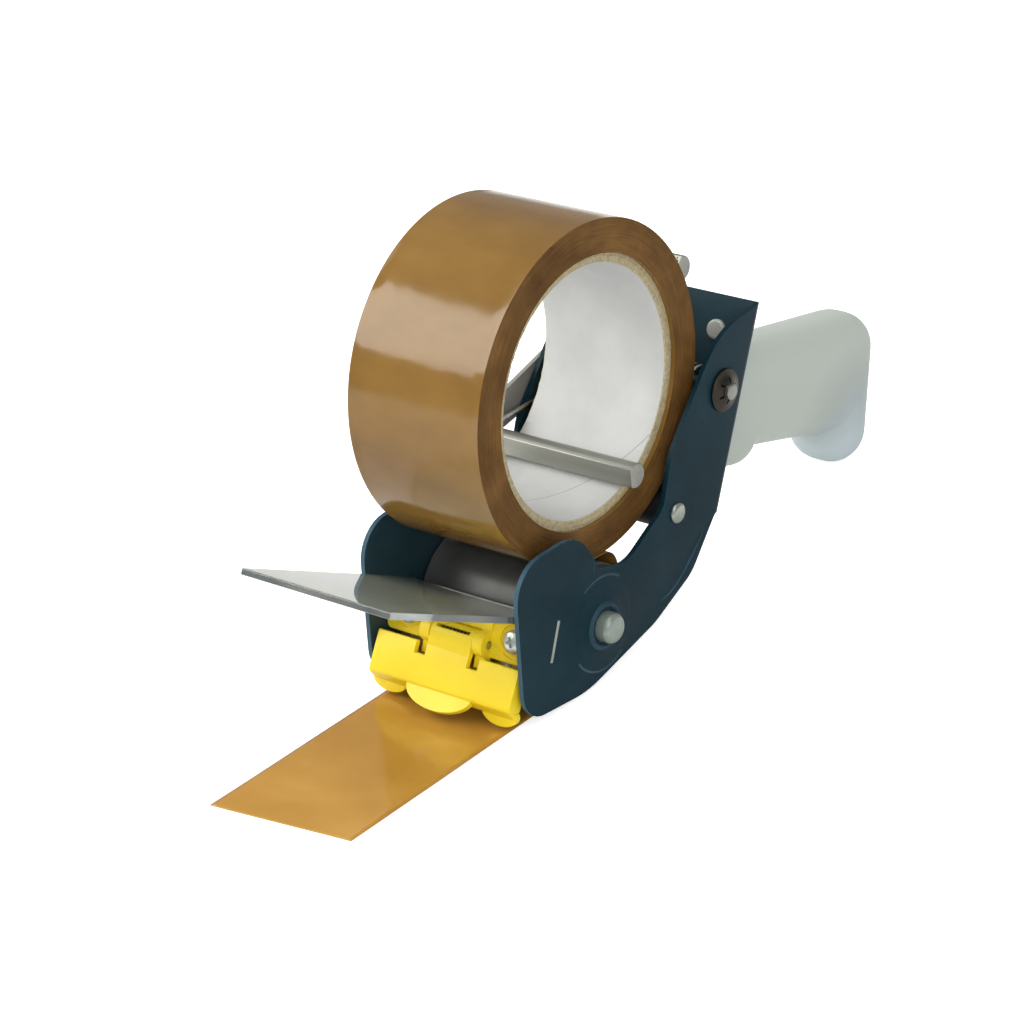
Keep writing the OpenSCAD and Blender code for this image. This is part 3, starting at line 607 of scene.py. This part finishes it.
def paint_frame(mesh):
    """Inside faces get the lighter inner paint, which is painted light, and the sheet's cut edges get the
    edge paint with its wear and painted highlight.
    """
    forward = [f for f in mesh.polygons if f.normal.y < -0.5 and f.center.y > WEB_BEHIND]
    web = max(forward, key=lambda f: f.area)
    for face in mesh.polygons:
        across = abs(face.normal.x) > ALONG_SHEET
        plate_inside = face.normal.x * face.center.x < 0 and across
        off_web = abs((face.center - web.center).dot(web.normal))
        web_inside = off_web < WEB_NEAR and face.normal.dot(web.normal) > WEB_ALIKE
        if plate_inside or web_inside:
            face.material_index = INSIDE_PAINTED_LIGHT
        elif abs(face.normal.x) < ALONG_SHEET and face.area < SHEET_EDGE_AREA:
            face.material_index = EDGE


def paint_flap(mesh):
    """The cut edges of the clear flap are duller than its faces."""
    side_end, steep, front_y = 0.25, 0.3, -0.05
    broad = max(mesh.polygons, key=lambda f: f.area).normal.copy()
    for face in mesh.polygons:
        front_end = abs(face.normal.dot(broad)) < steep and face.center.y < front_y
        if abs(face.normal.x) > side_end or front_end:
            face.material_index = EDGE


frame_mats = [blue, blue_edge_wear_and_highlight, blue_inside_painted_light]
paint_frame(from_cad("frame", "frame_body", frame_mats, 0.35, 3, EDGE).data)
from_cad("cross_plate", "frame_body", [zinc, zinc_mark], 0.2, 2, EDGE)
from_cad("cutter_blade", "frame_body", blade_mat, 0.06, 1)
from_cad("guard_carrier", "frame_body", [yellow, yellow_edge], 0.35, 3, EDGE)
flap_mats = [clear_mat, clear_edge]
paint_flap(from_cad("clear_flap", "frame_body", flap_mats, 0.25, 3, 0).data)
from_cad("grip_tang", "frame_body", zinc, 0.3, 2)
from_cad("roller_nut", "frame_body", [zinc, zinc_mark], 0.25, 2)
from_cad("blade_guard", "guard_body", [yellow, yellow_edge], 0.35, 3, EDGE)
from_cad("lever_plate", "lever_body", arm_mat, 0.2, 2)

TURN_WEB = Matrix.Rotation(math.radians(90), 4, "Z")


def rivet_at(x, z):
    """Shank and two domed heads of a rivet through the web and the tang's foot."""
    head_r, head_h, dome_r, shank_r, grip_l = 3.2, 1.3, 1.0, 2.0, 4.0
    base = ON_WEB @ Matrix.Translation((x, -SHEET, z)) @ TURN_WEB
    dome = [(dome_r - head_h - math.sin(math.radians(t)), head_r - dome_r + math.cos(math.radians(t)))
            for t in (15, 30, 45, 60, 75, 90)]
    head = [(0.0, 0), (0.0, head_r), *dome, (-1.42, 1.1), (-head_h, 0)]
    head = [(max(px, -head_h), pr) for px, pr in head]
    back = [(grip_l - px, pr) for px, pr in head]
    shank = [(0, 0), (0, shank_r), (grip_l, shank_r), (grip_l, 0)]
    return [put(lathe(p, 48, False), base) for p in (shank, head, back)]


def tie_rod():
    """The rod across the plates, with a domed head on each, and the tube round it."""
    dome = [(0, 0), (0, 3.3), (0.3, 3.3), (0.7, 3.15), (1.05, 2.8), (1.3, 2.2), (1.45, 1.2), (1.5, 0)]
    right = [(PLATE_X + px, pr) for px, pr in dome]
    left = [(-x, r) for x, r in right]
    rod = [(-PLATE_X, 0), (-PLATE_X, 2.5), (PLATE_X, 2.5), (PLATE_X, 0)]
    v, f = put(joined([lathe(p, 48, False) for p in (rod, right, left)]), at(TIE_Y, TIE_Z))
    piece("tie_rod_dressed", v, f, "frame_body", zinc, ("tie_rod",), 40)
    end = GAP / 2
    tube = [(-end, 2.52), (-end, 5.1), (-end + 0.4, 5.5), (end - 0.4, 5.5), (end, 5.1), (end, 2.52)]
    v, f = put(lathe(tube, 64), at(TIE_Y, TIE_Z))
    piece("tie_spacer_dressed", v, f, "frame_body", black_plastic, ("tie_spacer",), 40)


v, f = joined([part for x, z in RIVETS for part in rivet_at(x, z)])
piece("web_rivets_dressed", v, f, "frame_body", rivet_mat, ("web_rivets",), 40)
tie_rod()


def crease():
    """The pressed bead that runs along the lower back edge of each side plate, in the paler bead paint as a
    painted highlight.
    """
    spots = ((28.4, 13.6), (34.2, 14.8), (39.6, 17.6), (45.0, 21.6), (49.1, 25.1), (52.2, 28.4))
    path = curve_through([(0, y, z) for y, z in spots], 6)
    section = ((-0.5, -0.02), (-0.2, 0.16), (0.05, 0.24), (0.28, 0.12), (0.5, -0.02))
    verts, faces = [], []
    n, wide = len(path), len(section)
    for s in (-1, 1):
        base = len(verts)
        for i, p in enumerate(path):
            along = (path[min(i + 1, n - 1)] - path[max(i - 1, 0)]).normalized()
            side = Vector((0, -along.z, along.y))
            fade = math.sin(math.pi * (i + 0.02) / (n - 0.96)) ** 0.5
            for off, lift in section:
                q = p + side * off * fade
                verts.append((s * (PLATE_X + lift * fade), q.y, q.z))
        for i in range(n - 1):
            for j in range(wide - 1):
                a = base + i * wide + j
                faces.append([a, a + 1, a + wide + 1, a + wide])
    piece("frame_crease", verts, faces, "frame_body", blue_bead_highlight, (), 60)


crease()


def roller_bolt():
    """The roller's bolt, with a rounded head on the right plate."""
    face = PLATE_X + PRESS_H
    outline = ((0, 0), (0, 4.7), (2.9, 4.7), (3.5, 4.55), (4.2, 4.05), (4.5, 3.7), (4.6, 3.4), (4.45, 3.2),
               (4.45, 0))
    head = [(face + x, r) for x, r in outline]
    rod = [(-face - 7, 0), (-face - 7, 2.6), (-face - 6.5, 3.0), (face, 3.0), (face, 0)]
    v, f = put(joined([lathe(head, 64, False), lathe(rod, 48, False)]), at(0, AXLE_Z))
    piece("roller_bolt_dressed", v, f, "frame_body", bolt_mat, ("roller_bolt",), 30)


def press_ring():
    """The raised rim of the pressed seat round the bolt and the nut, and the faint edge of its disc, in the
    paler bead paint as a painted highlight.
    """
    seat = ((0.7, 7.5), (1.35, 6.95), (1.6, 6.7), (1.66, 6.4), (1.6, 6.1), (0.7, 5.6))
    rim = ((-0.05, -0.5), (0.12, -0.15), (0.16, 0.1), (-0.05, 0.5))
    parts = []
    for s in (-1, 1):
        parts.append(lathe([(s * (PLATE_X + a), r) for a, r in seat], 96))
        for radius, low, high in ((14.2, -150, -55), (15.4, 52, 118)):
            turn = (math.radians(low), math.radians(high))
            parts.append(lathe([(s * (PLATE_X + a), radius + b) for a, b in rim], 48, False, turn))
    v, f = put(joined(parts), at(0, AXLE_Z))
    piece("frame_press_ring", v, f, "frame_body", blue_bead_highlight, (), 50)


roller_bolt()
press_ring()


def carrier_screws():
    """Two screws with a cross recess that narrows towards its floor."""
    head = [(0, 0), (0, 3.6), (0.5, 3.6), (1.1, 3.4), (1.6, 2.9), (1.95, 2.2), (2.12, 1.4), (2.2, 0)]
    shank = [(-8.1, 0), (-8.1, 2.0), (0, 2.0), (0, 0)]
    floor_x, top_x = 0.9, 2.6
    points, faces = block(floor_x, top_x, -2.0, 2.0, -0.45, 0.45)
    arm = [(x, y * 0.55, z * 0.7) if x == floor_x else (x, y, z) for x, y, z in points]
    parts = []
    for s in (-1, 1):
        spot = Matrix.Translation((s * 19.7, -6.45, -2.2))
        place = ON_CUTTER @ spot @ Matrix.Rotation(-math.pi / 2, 4, "Z")
        ob = loose(*lathe(head, 64, False), place)
        for turn in (20, 110):
            cut = loose(arm, faces, place @ Matrix.Rotation(math.radians(turn), 4, "X"))
            combine(ob, cut, "DIFFERENCE")
        parts.append(taken_out(ob))
        parts.append(put(lathe(shank, 32, False), place))
    v, f = joined(parts)
    piece("carrier_screws_dressed", v, f, "frame_body", screw_mat,
          ("carrier_screws",), 38)


carrier_screws()


# Rubber roller

ROLLER_END, SLEEVE_IN = ROLLER_L / 2, 14.0
SLEEVE = soft_profile(-ROLLER_END, ROLLER_END, SLEEVE_IN, ROLLER_R, 0.6)
HUB = [(0.0, 9.0), (0.0, 13.98), (24.6, 13.98), (25, 13.6), (25, 12.3), (24.7, 12.0), (19, 12.0),
       (19, 11.0), (24.7, 11.0), (25, 10.7), (25, 9.0)]
BUSH = [(15, 3.05), (15, 6.0), (25, 6.0), (25, 8.0), (27.4, 8.0), (27.7, 7.7), (27.7, 3.05)]
for name, profiles, segs, slot, mat in (
        ("rubber_sleeve", [SLEEVE], 160, "black_rubber", rubber_mat),
        ("roller_hub", both_sides(HUB), 96, "black_plastic", hub_mat),
        ("roller_bushes", both_sides(BUSH), 64, "bush_nylon", bush_mat)):
    v, f = put(joined([lathe(p, segs) for p in profiles]), at(0, AXLE_Z))
    piece(name + "_dressed", v, f, "roller_body", mat, (name,), 40)


# Tape

def winding():
    """The wound tape, its sides uneven from one layer to the next."""
    steps = 30
    half, inner = TAPE_W / 2, CORE_R + CORE_WALL + 0.01
    offs = [0.0] + [random.uniform(0.0, 0.12) for _ in range(steps - 1)] + [0.05]
    right = [(half - offs[i], inner + (ROLL_R - 0.15 - inner) * i / steps) for i in range(steps + 1)]
    left = [(-half + offs[(i * 7) % steps], r) for i, (_, r) in enumerate(right)]
    pts = right + [(half - 0.1, ROLL_R - 0.05), (half - 0.2, ROLL_R)]
    pts += [(half * (1 - k / 6), ROLL_R) for k in range(1, 12)]
    pts += [(-half + 0.2, ROLL_R), (-half + 0.1, ROLL_R - 0.05)] + left[::-1]

    def lift(i, a):
        x, r = pts[i]
        if r > ROLL_R - 0.01 and abs(x) < half - 0.05:
            wave = noise.noise(Vector((x * 0.05, 3 * math.cos(a), 3 * math.sin(a))))
            return 0, -0.06 - 0.05 * wave
        if inner + 0.2 < r < ROLL_R - 0.3:
            wave = noise.noise(Vector((r * 0.6, 2 * math.cos(a), 2 * math.sin(a))))
            return -math.copysign(0.04 + 0.04 * wave, x), 0
        return 0, 0

    v, f = put(lathe(pts, 288, True, lift=lift), at(ROLL_Y, ROLL_Z))
    ob = piece("tape_winding_dressed", v, f, "roll_body", [brown, edge_mat],
               ("tape_winding",), 40)
    for p in ob.data.polygons:
        p.material_index = EDGE if abs(p.normal.x) > 0.5 else 0


def core():
    """The board core, its ends a little frayed."""
    half = TAPE_W / 2 - CORE_IN
    end = [(half - 0.5, CORE_R), (half - 0.1, CORE_R + 0.2), (half, CORE_R + 0.7),
           (half - 0.05, CORE_R + 1.5), (half, CORE_R + 2.3), (half - 0.1, CORE_R + CORE_WALL)]
    pts = end + [(-x, r) for x, r in reversed(end)]
    pts += [(-half + 0.5 + (2 * half - 1) * k / 8, CORE_R) for k in range(1, 8)]

    def lift(i, a):
        x, r = pts[i]
        if abs(x) > half - 0.2:
            fray = noise.noise(Vector((r, 26 * math.cos(a), 26 * math.sin(a))))
            return -math.copysign(0.12 + 0.12 * fray, x), 0.12 * fray if r < CORE_R + 1 else 0
        return 0, 0

    v, f = put(lathe(pts, 288, True, lift=lift), at(ROLL_Y, ROLL_Z))
    ob = piece("tape_core_dressed", v, f, "roll_body", [paper_mat, board_mat],
               ("tape_core",), 50)
    for p in ob.data.polygons:
        c = p.center / MM
        deep = math.hypot(c.y - ROLL_Y, c.z - ROLL_Z) < CORE_R + 0.05
        p.material_index = 0 if deep and abs(c.x) < half - 0.45 else EDGE


def core_seam():
    """The edge of the paper wound inside the core, a thin line that climbs along it."""
    half = TAPE_W / 2 - CORE_IN - 0.5
    verts, faces = [], []
    count = 160
    for i in range(count + 1):
        t = i / count
        a = math.radians(-159 + 118 * t)
        x = -half + 2 * half * t
        for dx, dr in ((-0.16, -0.01), (0.0, 0.06), (0.16, -0.01)):
            r = CORE_R - dr
            verts.append((max(-half, min(half, x + dx)), ROLL_Y + r * math.cos(a), ROLL_Z + r * math.sin(a)))
    for i in range(count):
        a = i * 3
        faces += [[a, a + 1, a + 4, a + 3], [a + 1, a + 2, a + 5, a + 4]]
    piece("tape_core_seam", verts, faces, "roll_body", seam_mat, (), 60)


# The strip starts just behind the roller's lowest line and reaches this far to the front
STRIP_START, STRIP_REACH = 0.8, 113


def sheet_between(name, grid, mat, replaces, thick):
    """Film from rows of points, thickened along its normals."""
    rows, cols = len(grid), len(grid[0])
    verts = [p for row in grid for p in row]
    faces = [[i * cols + j, i * cols + j + 1, (i + 1) * cols + j + 1, (i + 1) * cols + j]
             for i in range(rows - 1) for j in range(cols - 1)]
    ob = piece(name, verts, faces, "frame_body", mat, replaces, 60)
    mod = ob.modifiers.new("thick", "SOLIDIFY")
    mod.thickness = thick * MM
    mod.offset = 0


def strip():
    """The strip on the ground, softly waved, its front end cut askew."""
    rows, cols, half = 100, 25, TAPE_W / 2
    grid = []
    for i in range(rows + 1):
        row = []
        for j in range(cols + 1):
            x = -half + TAPE_W * j / cols
            end = -STRIP_REACH + x * math.tan(math.radians(7))
            y = STRIP_START + (end - STRIP_START) * i / rows
            wave = noise.noise(Vector((x * 0.045, y * 0.035, 4.0)))
            fine = noise.noise(Vector((x * 0.14, y * 0.11, 9.0)))
            z = 0.15 + 0.08 * wave + 0.03 * fine
            row.append((x, y, max(0.06, min(0.25, z))))
        grid.append(row)
    sheet_between("tape_strip_dressed", grid, strip_mat, ("tape_strip",), 0.08)


def wrap():
    """The film round the roller, with the slack loop that stands off it behind the nip."""
    rows, cols = 72, 12
    start = math.asin(STRIP_START / (ROLLER_R + 0.3))
    total = NIP + math.pi / 2 - start
    grid = []
    for i in range(rows + 1):
        a = -math.pi / 2 + start + total * i / rows
        slack = 2.9 * math.exp(-((math.degrees(a) - 50) / 17) ** 2)
        r = ROLLER_R + 0.45 + slack
        grid.append([(-TAPE_W / 2 + TAPE_W * j / cols, r * math.cos(a), AXLE_Z + r * math.sin(a))
                     for j in range(cols + 1)])
    sheet_between("tape_wrap_dressed", grid, brown, ("tape_wrap",), 0.12)


winding()
core()
core_seam()
strip()
wrap()


# Lever

FLAT_AT = BAR_FLAT - BAR_R


def d_bar(to, turn):
    """A bar with one flat side and a riveted end, along the lever's own X."""
    edge, count = math.acos(FLAT_AT / BAR_R), 56
    angles = [edge + (2 * math.pi - 2 * edge) * i / count for i in range(count + 1)]
    outline = [(BAR_R * math.cos(a), BAR_R * math.sin(a)) for a in angles]
    verts = [(x, y, z) for x in (-LEVER_X, to) for y, z in outline]
    n = len(outline)
    faces = [[i, (i + 1) % n, n + (i + 1) % n, n + i] for i in range(n)]
    faces += [list(range(n))[::-1], list(range(n, 2 * n))]
    cap = [(0, 0), (0, BAR_R), (0.4, BAR_R), (0.95, BAR_R - 0.3), (1.3, BAR_R - 1), (1.4, BAR_R - 1.8),
           (1.4, 0)]
    neck = [(-LEVER_OUT - 0.1, 0), (-LEVER_OUT - 0.1, 2.98), (-LEVER_X, 2.98), (-LEVER_X, 0)]
    parts = [put((verts, faces), turn)]
    parts.append(lathe([(-LEVER_OUT - x, r) for x, r in cap], 48, False))
    parts.append(lathe(neck, 32, False))
    return joined(parts)


def knurl_points(to, turn):
    """Rows of small dark diamonds on the bar's flat, each narrower at its top, as painted shade for the
    knurl's grooves.
    """
    rows_x, rows_z, reach, taper = 46, 6, 0.36, 0.8
    under, over = FLAT_AT - 0.02, FLAT_AT + 0.05
    half = math.sqrt(BAR_R ** 2 - FLAT_AT ** 2) - 0.55
    x0, x1 = -27.0, to - 0.6
    corners = ((-reach, 0), (0, -reach), (reach, 0), (0, reach))
    verts, faces = [], []
    for i in range(rows_x):
        for j in range(rows_z):
            x = x0 + (x1 - x0) * (i + 0.5 + 0.5 * (j % 2)) / (rows_x + 0.5)
            z = -half + 2 * half * (j + 0.5) / rows_z
            base = len(verts)
            verts += [(x + dx, under, z + dz) for dx, dz in corners]
            verts += [(x + dx * taper, over, z + dz * taper) for dx, dz in corners]
            for k in range(4):
                after = (k + 1) % 4
                faces.append([base + k, base + after, base + 4 + after, base + 4 + k])
            faces += [[base + 4, base + 5, base + 6, base + 7], [base + 3, base + 2, base + 1, base]]
    return put((verts, faces), turn)


def lever_bars():
    """The brake bar inside the core, and the thumb bar with its knurled flat."""
    thumb = (0, THUMB_L * math.cos(THUMB_AT), THUMB_L * math.sin(THUMB_AT))
    facing = Matrix.Rotation(THUMB_AT + math.radians(42), 4, "X")
    for name, to, turn, spot in (
            ("brake_bar", GAP / 2, Matrix.Rotation(math.pi - math.radians(14), 4, "X"), (0, -ARM_L, 0)),
            ("thumb_bar", THUMB_END, facing, thumb)):
        v, f = put(d_bar(to, turn), ON_LEVER @ Matrix.Translation(spot))
        ob = piece(name + "_dressed", v, f, "lever_body", dull, (name,), 34)
        round_edges(ob, 0.4, 3, 34)
    v, f = put(knurl_points(THUMB_END, facing), ON_LEVER @ Matrix.Translation(thumb))
    piece("thumb_bar_knurl", v, f, "lever_body", knurl_shade_mat, (), 0)


def pivot_axle():
    """The lever's axle, with a domed head on the lever's side."""
    dome = [(-2, 0), (-2, 2.4), (-1.75, 3.3), (-1.2, 4.0), (-0.5, 4.4), (0, 4.4), (0, AXLE_R)]
    head = [(x - LEVER_OUT, r) for x, r in dome]
    end = [(PLATE_X + 3.2, AXLE_R), (PLATE_X + 3.6, AXLE_R - 0.5), (PLATE_X + 3.6, 0)]
    v, f = put(lathe(head + end, 48, False), ON_LEVER)
    piece("pivot_axle_dressed", v, f, "lever_body", dull, ("pivot_axle",), 34)


def push_nut():
    """The domed nut pressed on the axle's end, split by six slots."""
    rings = [(1.5, 2.52), (2.1, 2.52), (1.95, 3.2), (1.55, 4.0), (1.2, 4.7), (0.95, 5.7), (0.75, 6.55),
             (0.55, 6.7), (0.1, 6.7), (0.0, 6.6), (0.25, 5.6), (0.6, 4.6), (0.95, 3.9), (1.3, 3.1)]
    place = ON_LEVER @ Matrix.Translation((PLATE_X + 0.1, 0, 0))
    ob = loose(*lathe(rings, 96), place)
    slots = 6
    for k in range(slots):
        turn = Matrix.Rotation(math.radians(k * 360 / slots), 4, "X")
        cut = loose(*block(-1, 4, 1.5, 4.2, -0.32, 0.32), place @ turn)
        combine(ob, cut, "DIFFERENCE")
    v, f = taken_out(ob)
    piece("push_nut_dressed", v, f, "lever_body", nut_mat, ("push_nut",), 32)


lever_bars()
pivot_axle()
push_nut()


def coil(x0, x1, r, turns, start, y, z):
    """Points of a winding round X from x0 to x1, from a start angle in degrees."""
    per = 32
    n = int(round(turns * per))
    points = []
    for i in range(n + 1):
        a = math.radians(start) + 2 * math.pi * i / per
        points.append((x0 + (x1 - x0) * i / n, y + r * math.cos(a), z + r * math.sin(a)))
    return points


def lever_spring():
    """The torsion spring, one leg on the web and the other hooked over the brake bar."""
    wire_r, coil_r, turns, near_x = 0.8, 5.4, 17, 21
    leg_x = -(TAPE_W / 2 + GAP / 2) / 2
    bar = (-ARM_L * math.cos(LEVER_A), -ARM_L * math.sin(LEVER_A))
    over = bar[1] + BAR_R + wire_r + 0.1
    web = (math.cos(WEB_LEAN), -math.sin(WEB_LEAN))
    off = web[0] * (WEB_Y - PIVOT_Y) + web[1] * (WEB_Z - PIVOT_Z) - SHEET - wire_r - 0.1
    foot = (web[0] * off - 6.5 * math.sin(WEB_LEAN), web[1] * off - 6.5 * math.cos(WEB_LEAN))
    lead = [(near_x + 0.4, foot[0], foot[1]), (near_x + 0.3, foot[0] + 0.6, foot[1] + 1.8)]
    wound = coil(near_x, leg_x + 0.3, coil_r, turns + 0.75, 0, 0, 0)
    tail = [(leg_x, -3, -coil_r + 0.1), (leg_x, -8, over - 0.1), (leg_x, bar[0] + 3, over),
            (leg_x, bar[0] - 2, over), (leg_x, bar[0] - 3.6, over - 0.5),
            (leg_x, bar[0] - 4.6, over - 1.8), (leg_x, bar[0] - 4.8, over - 5)]
    start = curve_through(lead + [wound[0], wound[4]], 6)[:-6]
    end = curve_through([wound[-5], wound[-1]] + tail, 6)[6:]
    v, f = put(sweep(start + wound[1:-1] + end, wire_r, (1, 0, 0), 14), at(PIVOT_Y, PIVOT_Z))
    piece("lever_spring_dressed", v, f, "lever_body", spring_mat, ("lever_spring",), 50)


def guard_spring():
    """The guard's coil spring inside its middle knuckle."""
    reach, coil_r, wire_r, turns = TONGUE_W / 2 - 2.4, 2.15, 0.35, 8
    path = coil(-reach, reach, coil_r, turns, 90, -PIN_OUT, PIN_UP)
    v, f = put(sweep(path, wire_r, (0, 0, 1), 10), ON_CUTTER)
    piece("guard_spring_dressed", v, f, "guard_body", spring_mat, ("guard_spring",), 50)


def guard_pin():
    """The guard's pin, with a bevelled edge at each end."""
    half, bevel = TONGUE_W / 2 + NOTCH_W - RUN_GAP, 0.2
    pts = [(-half, 0), (-half, PIN_R - bevel), (-half + bevel, PIN_R), (half - bevel, PIN_R),
           (half, PIN_R - bevel), (half, 0)]
    v, f = put(lathe(pts, 32, False), ON_CUTTER @ Matrix.Translation((0, -PIN_OUT, PIN_UP)))
    piece("guard_pin_dressed", v, f, "frame_body", zinc, ("guard_pin",), 40)


lever_spring()
guard_spring()
guard_pin()


# Grip

GRIP_R, GRIP_W, GRIP_EDGE = 11.3, 25.0, 10.8
FRONT, HEEL, CROWN = (66, 58.9, GRIP_R), (66, 50, GRIP_R), (165.9, 38.6, GRIP_R)
BELLY, FOOT = (154.4, 24.4, GRIP_R), (160.3, GRIP_R, GRIP_R)
COLLAR = [(78, 44, GRIP_R), (100.5, 33.6, GRIP_R - 1)]


def disc_points(disc):
    """Points of a thick disc (y, z, radius) across the grip, its rims rounded."""
    segs = 64
    y, z, radius = disc
    edge = min(GRIP_EDGE, radius - 0.6)
    half = GRIP_W / 2
    profile = []
    for s, order in ((-1, range(11)), (1, range(10, -1, -1))):
        for i in order:
            a = math.radians(9 * i)
            profile.append((s * (half - edge + edge * math.cos(a)), radius - edge + edge * math.sin(a)))
    angles = [2 * math.pi * k / segs for k in range(segs)]
    return [Vector((x, y + r * math.cos(a), z + r * math.sin(a))) for x, r in profile for a in angles]


def hull(discs):
    """Points and faces of the skin stretched round the discs."""
    bm = bmesh.new()
    for d in discs:
        for p in disc_points(d):
            bm.verts.new(p)
    done = bmesh.ops.convex_hull(bm, input=bm.verts)
    spare = done["geom_interior"] + done["geom_unused"]
    gone = {g for g in spare if isinstance(g, bmesh.types.BMVert)}
    bmesh.ops.delete(bm, geom=[v for v in bm.verts if v in gone], context="VERTS")
    bm.verts.index_update()
    verts = [tuple(v.co) for v in bm.verts]
    faces = [[v.index for v in f.verts] for f in bm.faces]
    bm.free()
    return verts, faces


def grip():
    """The handle: hulls made one, evened and softened, then cut off at the web."""
    ob = loose(*hull([FRONT, HEEL, CROWN, BELLY]))
    for discs in ([CROWN, FOOT], COLLAR):
        combine(ob, loose(*hull(discs)), "UNION")
    mod = ob.modifiers.new("even", "REMESH")
    mod.mode = "VOXEL"
    mod.voxel_size = 0.9 * MM
    solve(ob)
    mod = ob.modifiers.new("soften", "SMOOTH")
    mod.factor = 0.5
    mod.iterations = 10
    solve(ob)
    before_web = block(-60, 60, -200, 0.0, -200, 200)
    combine(ob, loose(*before_web, ON_WEB), "DIFFERENCE")
    ob.data.materials.clear()
    ob.data.materials.append(grip_mat)
    ob.name = "grip_dressed"
    shade(ob.data, 40)
    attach(ob, "frame_body")
    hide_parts("grip")


grip()


# Floor, lamps and camera

def floor():
    """White ground that takes shadows and glows where it is seen, less where it is mirrored."""
    side, level, mirrored, strength = 6.0, -0.0002, 0.25, 0.66
    corners = [(-side, -side, level), (side, -side, level), (side, side, level), (-side, side, level)]
    me = bpy.data.meshes.new("floor")
    me.from_pydata(corners, [], [(0, 1, 2, 3)])
    mat = bpy.data.materials.new("white_floor")
    mat.use_nodes = True
    tree = mat.node_tree
    tree.nodes.clear()
    out = tree.nodes.new("ShaderNodeOutputMaterial")
    plain = tree.nodes.new("ShaderNodeBsdfDiffuse")
    plain.inputs["Color"].default_value = (0.86, 0.86, 0.86, 1)
    glow = tree.nodes.new("ShaderNodeEmission")
    glow.inputs["Color"].default_value = (1, 1, 1, 1)
    rays = tree.nodes.new("ShaderNodeLightPath").outputs
    glossy = maths(tree, "MULTIPLY", rays["Is Glossy Ray"], mirrored)
    seen = maths(tree, "MAXIMUM", rays["Is Camera Ray"], glossy)
    seen = maths(tree, "MAXIMUM", seen, rays["Is Transmission Ray"])
    both = tree.nodes.new("ShaderNodeAddShader")
    link = tree.links.new
    link(maths(tree, "MULTIPLY", seen, strength), glow.inputs["Strength"])
    link(plain.outputs[0], both.inputs[0])
    link(glow.outputs[0], both.inputs[1])
    link(both.outputs[0], out.inputs["Surface"])
    me.materials.append(mat)
    ob = bpy.data.objects.new("floor", me)
    scene.collection.objects.link(ob)


def sky():
    """White surroundings, which look brighter than the light that they give."""
    world = bpy.data.worlds.new("studio")
    world.use_nodes = True
    tree = world.node_tree
    back = tree.nodes["Background"]
    back.inputs["Color"].default_value = (1, 1, 1, 1)
    rays = tree.nodes.new("ShaderNodeLightPath").outputs
    seen = maths(tree, "MAXIMUM", rays["Is Camera Ray"], rays["Is Transmission Ray"])
    spread = tree.nodes.new("ShaderNodeMapRange")
    spread.inputs["To Min"].default_value = 0.38
    spread.inputs["To Max"].default_value = 1.0
    tree.links.new(seen, spread.inputs["Value"])
    tree.links.new(spread.outputs["Result"], back.inputs["Strength"])
    scene.world = world


# The middle of the part, which the lamps face, in metres, and the camera's place in millimetres
CENTRE = Vector((0, 0.04, 0.07))
CAMERA_AT = Vector((638.182, -744.248, 520.122))


def softbox(name, azimuth, elevation, distance, size, power, colour=(1, 1, 1), mirrored=True):
    """A lamp at the side that a camera at that azimuth would look from, mirrored in gloss or not."""
    a, e = math.radians(azimuth), math.radians(elevation)
    way = Vector((math.sin(a) * math.cos(e), -math.cos(a) * math.cos(e), math.sin(e)))
    data = bpy.data.lights.new(name, "AREA")
    data.shape = "RECTANGLE"
    data.size, data.size_y = size
    data.energy = power
    data.color = colour
    ob = bpy.data.objects.new(name, data)
    ob.location = CENTRE + way * distance
    ob.visible_glossy = mirrored
    ob.rotation_euler = (-way).to_track_quat("-Z", "Y").to_euler()
    scene.collection.objects.link(ob)


def camera():
    """The camera that took the photo, as fitted to the roll's circles and edges."""
    data = bpy.data.cameras.new("camera")
    data.lens, data.sensor_width, data.sensor_fit = 129.6375, 36.0, "AUTO"
    data.clip_start, data.clip_end = 0.05, 50
    ob = bpy.data.objects.new("camera", data)
    az, el, roll = math.radians(40.68), math.radians(25.68), math.radians(-5.08)
    turn = (Matrix.Rotation(az, 4, "Z") @ Matrix.Rotation(math.pi / 2 - el, 4, "X")
            @ Matrix.Rotation(roll, 4, "Z"))
    ob.matrix_world = Matrix.Translation(CAMERA_AT * MM) @ turn
    scene.collection.objects.link(ob)
    scene.camera = ob


floor()
sky()
softbox("key", -62, 33.5, 1.5, (1.4, 0.72), 18.6, (1.0, 0.985, 0.93))
softbox("fill", 62, 36, 1.6, (1.2, 0.9), 4.4)
softbox("front", 42, 22, 1.7, (0.7, 0.5), 9, mirrored=False)
softbox("top", 10, 80, 1.5, (1.2, 1.0), 6)
softbox("rim", 195, 30, 1.6, (1.2, 0.8), 4, mirrored=False)
camera()
scene.view_settings.view_transform = "Standard"
